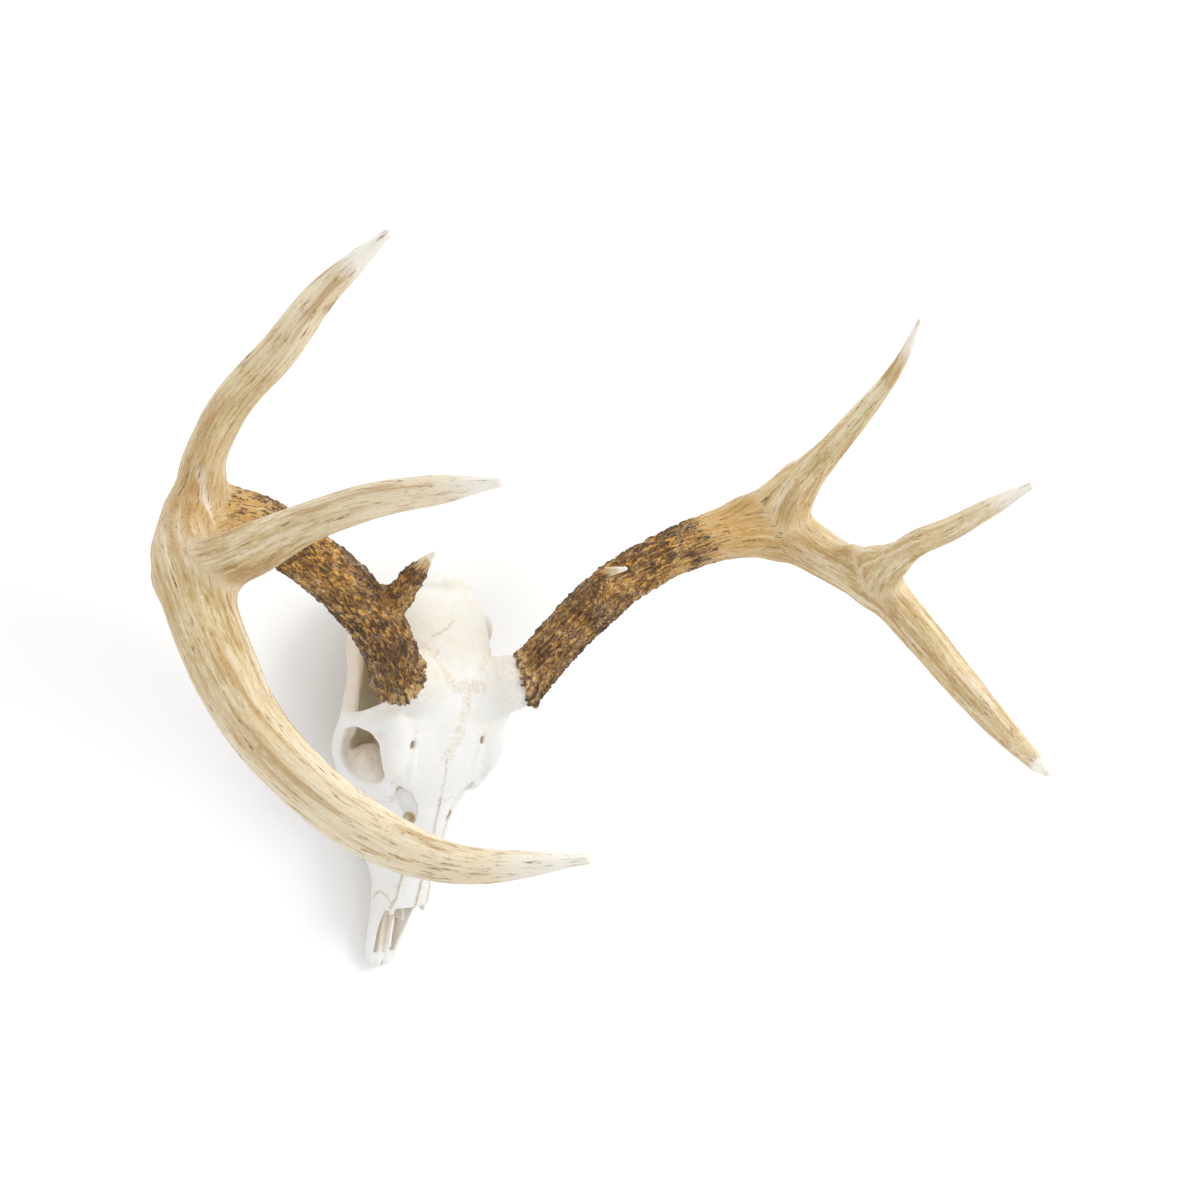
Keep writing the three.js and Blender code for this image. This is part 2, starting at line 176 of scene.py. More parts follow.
class Lattice:
    """Distances to a surface, negative inside, on a regular lattice of points."""

    def __init__(self, low, high, step):
        self.step = step
        self.low = np.array(low, float)
        counts = np.maximum(np.ceil((np.array(high, float) - self.low) / step).astype(int) + 1, 1)
        self.values = np.full(counts, FAR, np.float32)

    def window(self, low, high):
        """The slices that cover a box, and the x, y and z of their points."""
        shape = np.array(self.values.shape)
        first = np.floor((np.array(low) - self.low) / self.step).astype(int)
        last = np.ceil((np.array(high) - self.low) / self.step).astype(int) + 1
        first = np.clip(first, 0, shape - 1)
        last = np.clip(last, first + 1, shape)
        axes = [
            (self.low[k] + self.step * np.arange(first[k], last[k])).astype(np.float32)
            for k in range(3)
        ]
        where = tuple(slice(a, b) for a, b in zip(first, last))
        return where, axes[0][:, None, None], axes[1][None, :, None], axes[2][None, None, :]

    def near(self, shape, blend):
        """The slices round a shape, and the shape's distances there."""
        low, high, distance = shape
        room = 2 * blend + 6 * self.step
        where, x, y, z = self.window(np.array(low) - room, np.array(high) + room)
        return where, distance(x, y, z)

    def join(self, shape, blend=0.0):
        """Add a shape, rounded off where it meets what is there."""
        where, distances = self.near(shape, blend)
        self.values[where] = soft_least(self.values[where], distances, blend)

    def join_all(self, shapes, blend):
        for shape in shapes:
            self.join(shape, blend)

    def cut(self, shape, blend=0.0):
        """Take a shape away, with its edge rounded off."""
        where, distances = self.near(shape, blend)
        self.values[where] = soft_most(self.values[where], -distances, blend)

    def mirrored(self):
        """The whole of a shape whose x >= 0 half this lattice holds."""
        whole = Lattice(self.low, self.low, self.step)
        whole.low = self.low - [self.step * (self.values.shape[0] - 1), 0, 0]
        whole.values = np.concatenate([self.values[:0:-1], self.values])
        return whole

    def crowding(self, reach):
        """How much of the space within reach of each point is solid, on a lattice twice as coarse."""
        filled = (self.values[::2, ::2, ::2] < 0).astype(np.float32)
        span = max(1, int(round(reach / (2 * self.step))))
        for axis in range(3):
            pad = [(0, 0)] * 3
            pad[axis] = (span + 1, span)
            total = np.cumsum(np.pad(filled, pad), axis=axis)
            n = filled.shape[axis]
            high = np.take(total, np.arange(n) + 2 * span + 1, axis=axis)
            low = np.take(total, np.arange(n), axis=axis)
            filled = (high - low) / (2 * span + 1)
        return filled

    def sample(self, coarse, points):
        """A coarse lattice's value at each point."""
        at = (points - self.low) / (2 * self.step)
        at = np.clip(at, 0, np.array(coarse.shape) - 1.001)
        cell = at.astype(int)
        part = at - cell
        total = 0
        for corner in np.ndindex(2, 2, 2):
            weight = np.prod(np.where(corner, part, 1 - part), axis=1)
            total = total + weight * coarse[tuple((cell + corner).T)]
        return total

    def skin(self):
        """Points and four-cornered faces of the surface."""
        band = 3 * self.step
        grid = openvdb.FloatGrid(band)
        grid.copyFromArray(np.clip(self.values, -band, band))
        points, quads = grid.convertToQuads(0.0)
        return self.low + points.astype(float) * self.step, quads[:, ::-1].astype(np.int32)


def ellipsoid(centre, radii):
    """A shape, as all of these: its lowest and highest corner, and its distance at x, y and z."""
    c, r = np.array(centre, np.float32), np.array(radii, np.float32)

    def distance(x, y, z):
        u, v, w = (x - c[0]) / r[0], (y - c[1]) / r[1], (z - c[2]) / r[2]
        near = np.sqrt(u * u + v * v + w * w)
        steep = np.sqrt((u / r[0]) ** 2 + (v / r[1]) ** 2 + (w / r[2]) ** 2)
        return near * (near - 1) / np.maximum(steep, 1e-4)

    return c - r, c + r, distance


def turned_ellipsoid(centre, radii, along, across):
    """An ellipsoid whose first axis lies along one direction and its second across it."""
    c = np.array(centre, np.float32)
    first = np.array(along, float) / np.linalg.norm(along)
    second = np.array(across, float) - first * np.dot(across, first)
    second /= np.linalg.norm(second)
    axes = np.stack([first, second, np.cross(first, second)]).astype(np.float32)
    r = np.array(radii, np.float32)
    reach = np.sqrt(((axes * r[:, None]) ** 2).sum(0))

    def distance(x, y, z):
        dx, dy, dz = x - c[0], y - c[1], z - c[2]
        near, steep = 0, 0
        for axis, radius in zip(axes, r):
            u = (dx * axis[0] + dy * axis[1] + dz * axis[2]) / radius
            near = near + u * u
            steep = steep + (u / radius) ** 2
        near = np.sqrt(near)
        return near * (near - 1) / np.maximum(np.sqrt(steep), 1e-4)

    return c - reach, c + reach, distance


def taper(a, b, start_radius, end_radius, flat=(1, 1, 1)):
    """A straight round bar between two points, flattened by the three factors."""
    a, b = np.array(a, np.float32), np.array(b, np.float32)
    flat = np.array(flat, np.float32)
    line = (b - a) / flat
    length2 = float(line @ line)
    widest = max(start_radius, end_radius) * max(1, flat.max())

    def distance(x, y, z):
        dx, dy, dz = (x - a[0]) / flat[0], (y - a[1]) / flat[1], (z - a[2]) / flat[2]
        t = np.clip((dx * line[0] + dy * line[1] + dz * line[2]) / length2, 0, 1)
        away = np.sqrt((dx - t * line[0]) ** 2 + (dy - t * line[1]) ** 2 + (dz - t * line[2]) ** 2)
        return (away - (start_radius + (end_radius - start_radius) * t)) * min(1, flat.min())

    return np.minimum(a, b) - widest, np.maximum(a, b) + widest, distance


def bars(curve, thick, flat=(1, 1, 1)):
    """One straight bar for each step of a curve."""
    return [
        taper(curve[k], curve[k + 1], thick[k], thick[k + 1], flat) for k in range(len(curve) - 1)
    ]


def rod(points, radii, flat=(1, 1, 1)):
    """Bars along a smooth curve through the points."""
    return bars(*smooth_path(points, radii, 5), flat)


def box(centre, half, rounding=1.0):
    """A block with rounded edges, from its middle and half sizes."""
    c, h = np.array(centre, np.float32), np.array(half, np.float32) - rounding

    def distance(x, y, z):
        u, v, w = abs(x - c[0]) - h[0], abs(y - c[1]) - h[1], abs(z - c[2]) - h[2]
        out = np.sqrt(np.maximum(u, 0) ** 2 + np.maximum(v, 0) ** 2 + np.maximum(w, 0) ** 2)
        return out + np.minimum(np.maximum(np.maximum(u, v), w), 0) - rounding

    return c - h - rounding, c + h + rounding, distance


def ring(centre, facing, radius, tube, depth=1.0):
    """A round rim that faces one way, as deep as depth times its width."""
    c = np.array(centre, np.float32)
    n = (np.array(facing) / np.linalg.norm(facing)).astype(np.float32)

    def distance(x, y, z):
        dx, dy, dz = x - c[0], y - c[1], z - c[2]
        high = dx * n[0] + dy * n[1] + dz * n[2]
        wide = np.sqrt(np.maximum(dx * dx + dy * dy + dz * dz - high * high, 0))
        return np.sqrt((wide - radius) ** 2 + (high / depth) ** 2) - tube

    reach = radius + tube * max(1, depth)
    return c - reach, c + reach, distance


def loft(shape, start, end, corner=2.6, rounding=3.0):
    """A body whose oval section changes along y. shape holds tables of top, bottom and half width,
    and may hold taper and keel, which say how much narrower the top and the bottom are. A higher
    corner makes the section squarer."""
    half = max(row[1] for row in shape["half"]) * 1.02
    top = max(row[1] for row in shape["top"])
    bottom = min(row[1] for row in shape["bottom"])

    def distance(x, y, z):
        place = y.ravel().astype(float)
        wide, high, low, narrow, keel = (
            table(shape[key], place).astype(np.float32)[None, :, None] if key in shape else 0
            for key in ("half", "top", "bottom", "taper", "keel")
        )
        tall = (high - low) / 2
        up = (z - (high + low) / 2) / tall
        fit = 1 - narrow * np.clip(up, 0, 1) + keel * np.clip(up, -1, 0)
        wide = wide * np.maximum(fit, 0.2)
        u, v = np.abs(x) / wide, np.abs(up)
        s = np.maximum((u**corner + v**corner) ** (1 / corner), 0.02)
        steep = np.sqrt((u ** (corner - 1) / wide) ** 2 + (v ** (corner - 1) / tall) ** 2)
        steep = s ** (1 - corner) * steep
        side = (s - 1) / np.maximum(steep, 0.01)
        return soft_most(soft_most(side, start - y, rounding), y - end, rounding)

    return (-half, start, bottom), (half, end, top), distance


# ---------------------------------------------------------------- curved rods


def smooth_path(points, radii, steps):
    """Points and radii along a smooth curve through the waypoints."""
    p = np.array(points, float)
    p = np.vstack([2 * p[0] - p[1], p, 2 * p[-1] - p[-2]])
    r = np.array(radii, float)
    r = np.concatenate([[2 * r[0] - r[1]], r, [2 * r[-1] - r[-2]]])
    curve, thick = [], []
    for k in range(1, len(p) - 2):
        knots = [0.0]
        for a, b in zip(range(k - 1, k + 2), range(k, k + 3)):
            knots.append(knots[-1] + max(math.sqrt(np.linalg.norm(p[b] - p[a])), 1e-3))
        last = k == len(p) - 3
        for t in np.linspace(0, 1, steps, endpoint=False).tolist() + ([1.0] if last else []):
            at = knots[1] + t * (knots[2] - knots[1])
            curve.append(_between(p[k - 1 : k + 3], knots, at))
            even = [0, 1, 2, 3]
            thick.append(float(_between(r[k - 1 : k + 3, None], even, 1 + t)[0]))
    return np.array(curve), np.array(thick)


def _between(four, knots, at):
    """The curve's value between the second and third of four waypoints."""
    a = [
        (knots[i + 1] - at) / (knots[i + 1] - knots[i]) * four[i]
        + (at - knots[i]) / (knots[i + 1] - knots[i]) * four[i + 1]
        for i in range(3)
    ]
    b = [
        (knots[i + 2] - at) / (knots[i + 2] - knots[i]) * a[i]
        + (at - knots[i]) / (knots[i + 2] - knots[i]) * a[i + 1]
        for i in range(2)
    ]
    gap = knots[2] - knots[1]
    return (knots[2] - at) / gap * b[0] + (at - knots[1]) / gap * b[1]


class Tine:
    """One round, tapering length of antler, with its own length and angle for the grain."""

    AT_ONCE = 40000  # points looked up together, to spare memory

    def __init__(self, points, radii):
        self.curve, self.thick = smooth_path(points, radii, 8)
        lengths = np.linalg.norm(np.diff(self.curve, axis=0), axis=1)
        self.along = np.concatenate([[0], np.cumsum(lengths)])
        self.end = self.along[-1]
        tangents = np.gradient(self.curve, axis=0)
        self.tangents = tangents / np.linalg.norm(tangents, axis=1, keepdims=True)
        over = np.cross(self.tangents[0], (0, 0, 1.0))
        self.over = []
        for tangent in self.tangents:
            over = over - tangent * (over @ tangent)
            over = over / np.linalg.norm(over)
            self.over.append(over)
        self.over = np.array(self.over)

    def field(self, like, blend):
        """Distances to this tine alone, on a lattice that lines up with another one."""
        room = self.thick.max() + blend + 4 * like.step
        low, high = self.curve.min(0) - room, self.curve.max(0) + room
        where, *_ = like.window(low, high)
        first = [s.start for s in where]
        small = Lattice(like.low + np.array(first) * like.step, like.low, like.step)
        small.values = np.full([s.stop - s.start for s in where], FAR, np.float32)
        edge = blend + 3 * like.step
        for bar_low, bar_high, distance in bars(self.curve, self.thick):
            inner, x, y, z = small.window(bar_low - edge, bar_high + edge)
            small.values[inner] = np.minimum(small.values[inner], distance(x, y, z))
        return where, small.values

    def read(self, points):
        """Length along, distance from the axis, angle and thickness for each point."""
        nearest = np.empty(len(points), int)
        size = (self.curve**2).sum(1)
        for k in range(0, len(points), self.AT_ONCE):
            chunk = points[k : k + self.AT_ONCE]
            nearest[k : k + self.AT_ONCE] = np.argmin(size - 2 * chunk @ self.curve.T, axis=1)
        base = np.clip(nearest, 1, len(self.curve) - 2)
        offset = points - self.curve[base]
        slide = np.einsum("ij,ij->i", offset, self.tangents[base])
        spacing = (self.along[base + 1] - self.along[base - 1]) / 2
        shift = np.clip(slide / spacing, -1.5, 1.5)
        place = base + shift
        step = np.clip(np.floor(place).astype(int), 0, len(self.curve) - 2)
        part = np.clip(place - step, 0, 1)[:, None]
        centre = self.curve[step] * (1 - part) + self.curve[step + 1] * part
        over = self.over[step] * (1 - part) + self.over[step + 1] * part
        tangent = self.tangents[step] * (1 - part) + self.tangents[step + 1] * part
        side = np.cross(tangent, over)
        offset = points - centre
        a = np.einsum("ij,ij->i", offset, over)
        b = np.einsum("ij,ij->i", offset, side)
        away = np.linalg.norm(offset, axis=1)
        length = self.along[step] * (1 - part[:, 0]) + self.along[step + 1] * part[:, 0]
        thick = self.thick[step] * (1 - part[:, 0]) + self.thick[step + 1] * part[:, 0]
        turn = np.stack([a, b], 1) / np.maximum(np.hypot(a, b), 1e-3)[:, None]
        return length, away, turn, thick


# ---------------------------------------------------------------- skinned meshes


def point_normals(points, quads):
    """The way each point faces, from the faces round it."""
    a, b, c, d = (points[quads[:, k]] for k in range(4))
    face = np.cross(c - a, d - b)
    total = np.stack(
        [
            sum(np.bincount(quads[:, k], face[:, axis], len(points)) for k in range(4))
            for axis in range(3)
        ],
        axis=1,
    )
    return total / np.maximum(np.linalg.norm(total, axis=1, keepdims=True), 1e-9)


def skinned_object(name, points, quads, masks, material):
    """A smooth object at its place in the part, with a named value per point for each mask."""
    mesh = bpy.data.meshes.new(name)
    place = (points + SKULL_TO_PART) * MM
    mesh.vertices.add(len(place))
    mesh.vertices.foreach_set("co", place.astype(np.float32).ravel())
    mesh.loops.add(quads.size)
    mesh.loops.foreach_set("vertex_index", quads.ravel())
    mesh.polygons.add(len(quads))
    mesh.polygons.foreach_set("loop_start", np.arange(0, quads.size, 4, dtype=np.int32))
    mesh.update(calc_edges=True)
    mesh.validate()
    mesh.shade_smooth()
    for key, values in masks.items():
        if values.ndim == 2:
            store = mesh.attributes.new(key, "FLOAT_VECTOR", "POINT")
            store.data.foreach_set("vector", values.astype(np.float32).ravel())
        else:
            store = mesh.attributes.new(key, "FLOAT", "POINT")
            store.data.foreach_set("value", np.clip(values, 0, 1).astype(np.float32))
    mesh.materials.append(material)
    piece = bpy.data.objects.new(name, mesh)
    bpy.context.scene.collection.objects.link(piece)
    return piece


# ---------------------------------------------------------------- the skull's measures

SNOUT = {
    "top": [(1, 10), (10, 12.5), (18, 16), (34, 27), (48, 38), (62, 54)],
    "bottom": [(1, 5), (10, 5.5), (30, 9), (62, 12)],
    "half": [(1, 5), (5, 9), (12, 12), (22, 13.4), (48, 14.5), (62, 16)],
}
NOSTRIL = {
    "top": [(12, 70), (52, 70)],
    "bottom": [(12, 10), (30, 13), (52, 20)],
    "half": [(12, 6), (22, 9.4), (52, 11)],
}
FACE = {
    "top": [(44, 49), (66, 57), (90, 67), (115, 77), (136, 86), (155, 95), (176, 102)],
    "bottom": [(44, 12), (66, 12), (84, 9), (110, 6), (140, 5), (156, 8), (176, 30)],
    "half": [(44, 14.5), (66, 17), (84, 24), (105, 31), (125, 36), (145, 42), (156, 40), (176, 24)],
    "taper": [(44, 0.1), (66, 0.14), (105, 0.4), (145, 0.4), (176, 0.05)],
    "keel": [(44, 0), (84, 0.1), (110, 0.2), (145, 0.34), (176, 0.1)],
}
FOREHEAD = {
    "top": [(128, 78), (140, 86.5), (150, 93.5), (170, 102), (190, 107), (214, 109)],
    "bottom": [(128, 70), (140, 76), (150, 79), (170, 82), (190, 78), (214, 66)],
    "half": [
        (128, 10), (138, 18), (146, 28), (154, 38), (165, 45), (175, 46), (184, 45), (194, 42),
        (214, 37),
    ],
}
BRAINCASE = {
    "top": [(168, 98), (190, 107), (212, 109), (235, 106), (258, 96.5), (272, 86), (279, 77)],
    "bottom": [(168, 34), (190, 38), (215, 38), (245, 34), (266, 34), (279, 48)],
    "half": [(168, 17), (185, 26), (200, 34), (220, 37), (245, 35.6), (262, 34), (271, 30), (279, 24)],
    "keel": [(168, 0), (245, 0.1), (270, 0.32), (281, 0.4)],
}
ORBIT = (47, 167, 73)
ORBIT_FACING = (0.91, -0.32, 0.24)
ORBIT_RADIUS = 19.6
ORBIT_DEPTH = 24
SOCKET_BULGE = (35.5, 156.5, 60)
ARCH_BACK = (
    [(51, 180, 52), (50.5, 192, 53), (49, 205, 53), (46.5, 220, 52), (46, 236, 50), (38, 248, 50)],
    [5, 4, 3.6, 4, 5.6, 8],
)
BROW_BAR = (
    [(41, 196, 98), (46, 192.5, 93), (50, 190.5, 86), (53, 188.5, 76), (55, 186.5, 66), (53.5, 185, 57)],
    [6.5, 5.6, 4.2, 3.3, 3, 3.6],
)
SOCKET_FLOOR = (
    [(43, 147, 60), (49, 150, 51), (54.5, 162, 49), (54.5, 174, 49.5), (52.5, 183, 51.5)],
    [4.4, 4.4, 4, 4, 4],
)
EAR_CREST = ([(38, 232, 60), (43.6, 243, 63), (42.6, 250, 62), (33, 257, 60)], [3, 3.4, 3.6, 4])
ARCH_FRONT = ([(28, 112, 34), (35, 130, 40), (42, 148, 47), (49, 162, 51)], [5, 7, 7, 5])
PALATE_BAR = ([(3.4, 6, 10), (3.2, 20, 11), (3.4, 36, 15), (3.6, 48, 20)], [2.8, 2.2, 2.2, 2.4])
TURBINATE = ([(9.4, 64, 36), (8.6, 74, 38), (8.4, 88, 41)], [1.2, 3.4, 4])
PALATE_WING = ([(12, 150, 28), (11.5, 168, 25), (10.5, 184, 28), (11, 198, 38)], [2.6] * 4)
BASE_BEAM = ([(0, 158, 34), (0, 190, 38), (0, 226, 37), (0, 262, 36)], [3, 6, 8, 9])
EAR_TUBE = ([(32, 240, 42), (44, 244, 49)], [8, 6])
NECK_PROCESS = ([(30, 261, 46), (28.5, 263, 26), (26, 263, 8), (25, 262, -3)], [8, 6, 4.4, 3.4])
NAPE_CREST = ([(0, 279, 79.5), (13, 275.6, 75), (25, 272, 67), (31, 264, 52)], [3.2, 3.4, 3.4, 3])
PEDICLE = (  # measured from the foot of the antler
    [(-38, -14, -38), (-24, -9, -22), (-11, -4.4, -8.6), (-5.4, -2.1, -3.7)], [24, 16.4, 12.8, 12.7],
)
BURR_FACING = (0.77, 0.3, 0.53)
TOOTH_LENGTHS = (9, 10, 10, 12, 13.5, 13.5)
TOOTH_WIDTHS = (7.5, 9, 10, 12, 13, 12.5)
TOOTH_HEIGHT = 24
FIRST_TOOTH_Y = 92
TOOTH_ROW_X = (18, 25)  # at the first tooth and at the last
TOOTH_GAP = 0.8

# Lines on the bones: each is a chain of points near the surface.
MIDLINE_FRONTALS = [
    (4.5, 212, 108.5), (4.5, 200, 108), (3.2, 190, 107), (1.8, 180, 105), (-1, 172, 102.5),
    (-4, 166, 100.3),
]
MIDLINE_FINE = [(-4, 166, 100.3), (-1.1, 149, 93.5), (0.5, 137, 87.4)]
BETWEEN_NASALS = [
    (0.5, 137, 87.4), (1.2, 130, 82.5), (1.5, 123, 79.7), (2.7, 110, 74), (2.6, 77, 61),
    (2.6, 65, 56), (2, 57, 53.5), (1.8, 50, 51.4),
]
CORONAL = [
    (-30, 243, 94), (-22.8, 236, 101.7), (-18.6, 230, 105), (-14.2, 222, 107), (-10.7, 217, 107.5),
    (-6, 214, 108.4), (1.3, 212.3, 108.8), (9, 212, 108), (18, 211.6, 107.3), (20.8, 216, 104.7),
    (18, 223, 106), (22.8, 227.5, 103), (30, 234, 97),
]
NASAL_SIDE = [
    (14.4, 118, 73), (13.5, 110, 71), (12.4, 98, 67), (11.4, 82, 60), (11, 72, 55.5),
    (11.2, 62, 51.8), (12.4, 54, 47),
]
NASAL_ROOT = [(0.5, 137, 87.4), (6, 133, 85.5), (9, 137, 86), (14, 134, 83), (19, 139, 84.5)]
SNOUT_SIDE = [
    (13.6, 57.5, 49), (14.8, 61.6, 43.5), (16.1, 64.5, 38), (15.6, 60, 30), (15.4, 54, 22), (14, 46, 12),
]
LACRIMAL = [(24.3, 134, 70), (28, 131, 62), (33, 136, 54), (37, 145, 52)]
CHEEK_JOIN = [(37, 145, 52), (34, 138, 46), (33, 128, 40), (37, 122, 32)]
NAPE = [(31, 262, 54), (26, 266, 66), (14, 268, 84), (0, 262, 93)]
SQUAMOSAL = [(36, 205, 60), (38, 220, 72), (38, 236, 74), (36, 250, 66)]
VESSELS = [
    [
        (-1, 254.4, 99.6), (-4.3, 252.5, 100.1), (-6.2, 250, 101), (-11.6, 247.6, 101.7),
        (-17.4, 245, 101.8),
    ],
    [(-14, 236, 104), (-19, 228, 104), (-25, 222, 102)],
]
BROW_GROOVES = [
    [(-29.2, 186, 103.7), (-28.4, 177, 102.8), (-27.5, 165, 99.2), (-25.6, 150.8, 92.4), (-23, 144, 89)],
    [(26.5, 188, 105), (21.2, 176, 102.8), (20.5, 162, 98.5), (19.5, 150, 93)],
]
BROW_HOLES = [(-30, 175.5, 102), (24.6, 176, 102.4)]
BROW_SQUEEZE = 0.13  # the left brow stands nearer the middle than the right one

# The opening in front of the eye socket: the directions along and across it, then the middle
# and radii of the slot and of the thin plate at its bottom.
TEAR_TURN = ((0.43, 0.88, 0.2), (0.76, 0.22, -0.61))
TEAR_SLOT = ((20.6, 132.5, 77.4), (15.5, 6.6, 8))
TEAR_PLATE = ((16.2, 135.8, 72.5), (16, 8.5, 1.9))
TEAR_HOLE = ((14.6, 120.5, 73), (3.2, 4.6, 6))
TEAR_EDGE = [
    (-24, 141, 75), (-25.8, 144.8, 79), (-26, 144.5, 84), (-20.1, 138, 84.5), (-13.3, 130.3, 79),
    (-11.8, 123.7, 76.5),
]

# Painted shade: dark spots in and round the opening before the eye socket and inside the socket, where
# shade falls: the middle, how far each reaches and how dark it is.
SHADE_SPOTS = [
    ((39.5, 155.5, 86), 4.4, 0.85), ((14.6, 121, 72), 5.4, 1.0), ((25.5, 144.5, 82), 3.8, 0.85),
    ((25, 136, 68.5), 3.4, 0.3), ((30.0, 152.3, 64), 6.5, 0.4),
]


CHAIN_REACH = 14  # points farther than this from a chain are not looked at
CHAIN_DEPTH = 9  # nor are surfaces that lie farther than this above or below it


def both_sides(chain):
    """The chain and its mirror image."""
    return [chain, [(-x, y, z) for x, y, z in chain]]


# Wandering seams, with the half width and strength of their stain.
WIDE_SEAMS = [(MIDLINE_FRONTALS, 3.6, 0.62), (CORONAL, 3.8, 0.66), (NAPE, 2.0, 0.12)]
WIDE_SEAMS += [(chain, 1.5, 0.3) for chain in both_sides(SQUAMOSAL)]

# Narrow seams, with their half width, depth and strength. The first runs along the edge of the opening
# before the eye socket: a shallow groove with painted shade.
THIN_SEAMS = [
    (TEAR_EDGE, 0.8, 0.3, 0.85), (MIDLINE_FINE, 0.55, 0.35, 0.5), (BETWEEN_NASALS, 0.6, 0.9, 0.8),
    (NASAL_ROOT, 0.5, 0.3, 0.3),
]
THIN_SEAMS += [
    (chain, *measures)
    for paired, *measures in (
        (NASAL_SIDE, 0.55, 0.75, 0.8), (SNOUT_SIDE, 0.6, 0.6, 0.7), (LACRIMAL, 0.5, 0.35, 0.3),
        (CHEEK_JOIN, 0.5, 0.35, 0.3),
    )
    for chain in both_sides(paired)
]


def chain_distance(points, normals, chain):
    """How far each point lies from a chain, measured across the surface, and how far along."""
    chain = np.array(chain, float)
    low, high = chain.min(0) - CHAIN_REACH, chain.max(0) + CHAIN_REACH
    near = np.flatnonzero(((points > low) & (points < high)).all(1))
    result = np.full(len(points), AWAY)
    run = np.zeros(len(points))
    p, n = points[near], normals[near]
    best, place, total = np.full(len(near), AWAY), np.zeros(len(near)), 0.0
    for a, b in zip(chain[:-1], chain[1:]):
        line = b - a
        t = np.clip((p - a) @ line / (line @ line), 0, 1)
        away = a + t[:, None] * line - p
        depth = np.einsum("ij,ij->i", away, n)
        flat = np.linalg.norm(away - depth[:, None] * n, axis=1)
        flat = np.where(np.abs(depth) > CHAIN_DEPTH, AWAY, flat)
        length = np.linalg.norm(line)
        closer = flat < best
        best = np.where(closer, flat, best)
        place = np.where(closer, total + t * length, place)
        total += length
    result[near], run[near] = best, place
    return result, run


def hollow_masks(beside):
    """Three masks: painted shade on the bone behind the eye socket, seen through the openings, the
    socket's rough edge, and its wall, which also gets painted shade. beside holds the points with the
    right side laid over the left."""
    x, y, z = beside.T
    lump = np.linalg.norm((beside - SOCKET_BULGE) * [1, 1, 1.1], axis=1)
    # Painted shade on the bone behind the eye socket and inside the cheek arch, seen through the
    # openings.
    behind = ramp(89 - z, 0, 9) * ramp(z, 22, 34) * ramp(y, 148, 158) * (1 - ramp(y, 226, 240))
    behind *= ramp(50.2 - x, 0, 2.6) * ramp(lump, 14, 19)
    facing = np.array(ORBIT_FACING) / np.linalg.norm(ORBIT_FACING)
    inward = -(beside - ORBIT) @ facing
    away = np.linalg.norm(beside - ORBIT + inward[:, None] * facing, axis=1)
    rim = np.exp(-(((away - ORBIT_RADIUS) / 1.8) ** 2)) * ramp(z, 74, 82)
    rim *= 1 - ramp(np.abs(inward), 4, 9)
    rim += 0.7 * (1 - ramp(lump, 14, 18)) * ramp(y, 150, 156)
    wall = ramp(inward, -7, -2) * (1 - ramp(away, ORBIT_RADIUS + 0.5, ORBIT_RADIUS + 2.5))
    return behind, rim, wall


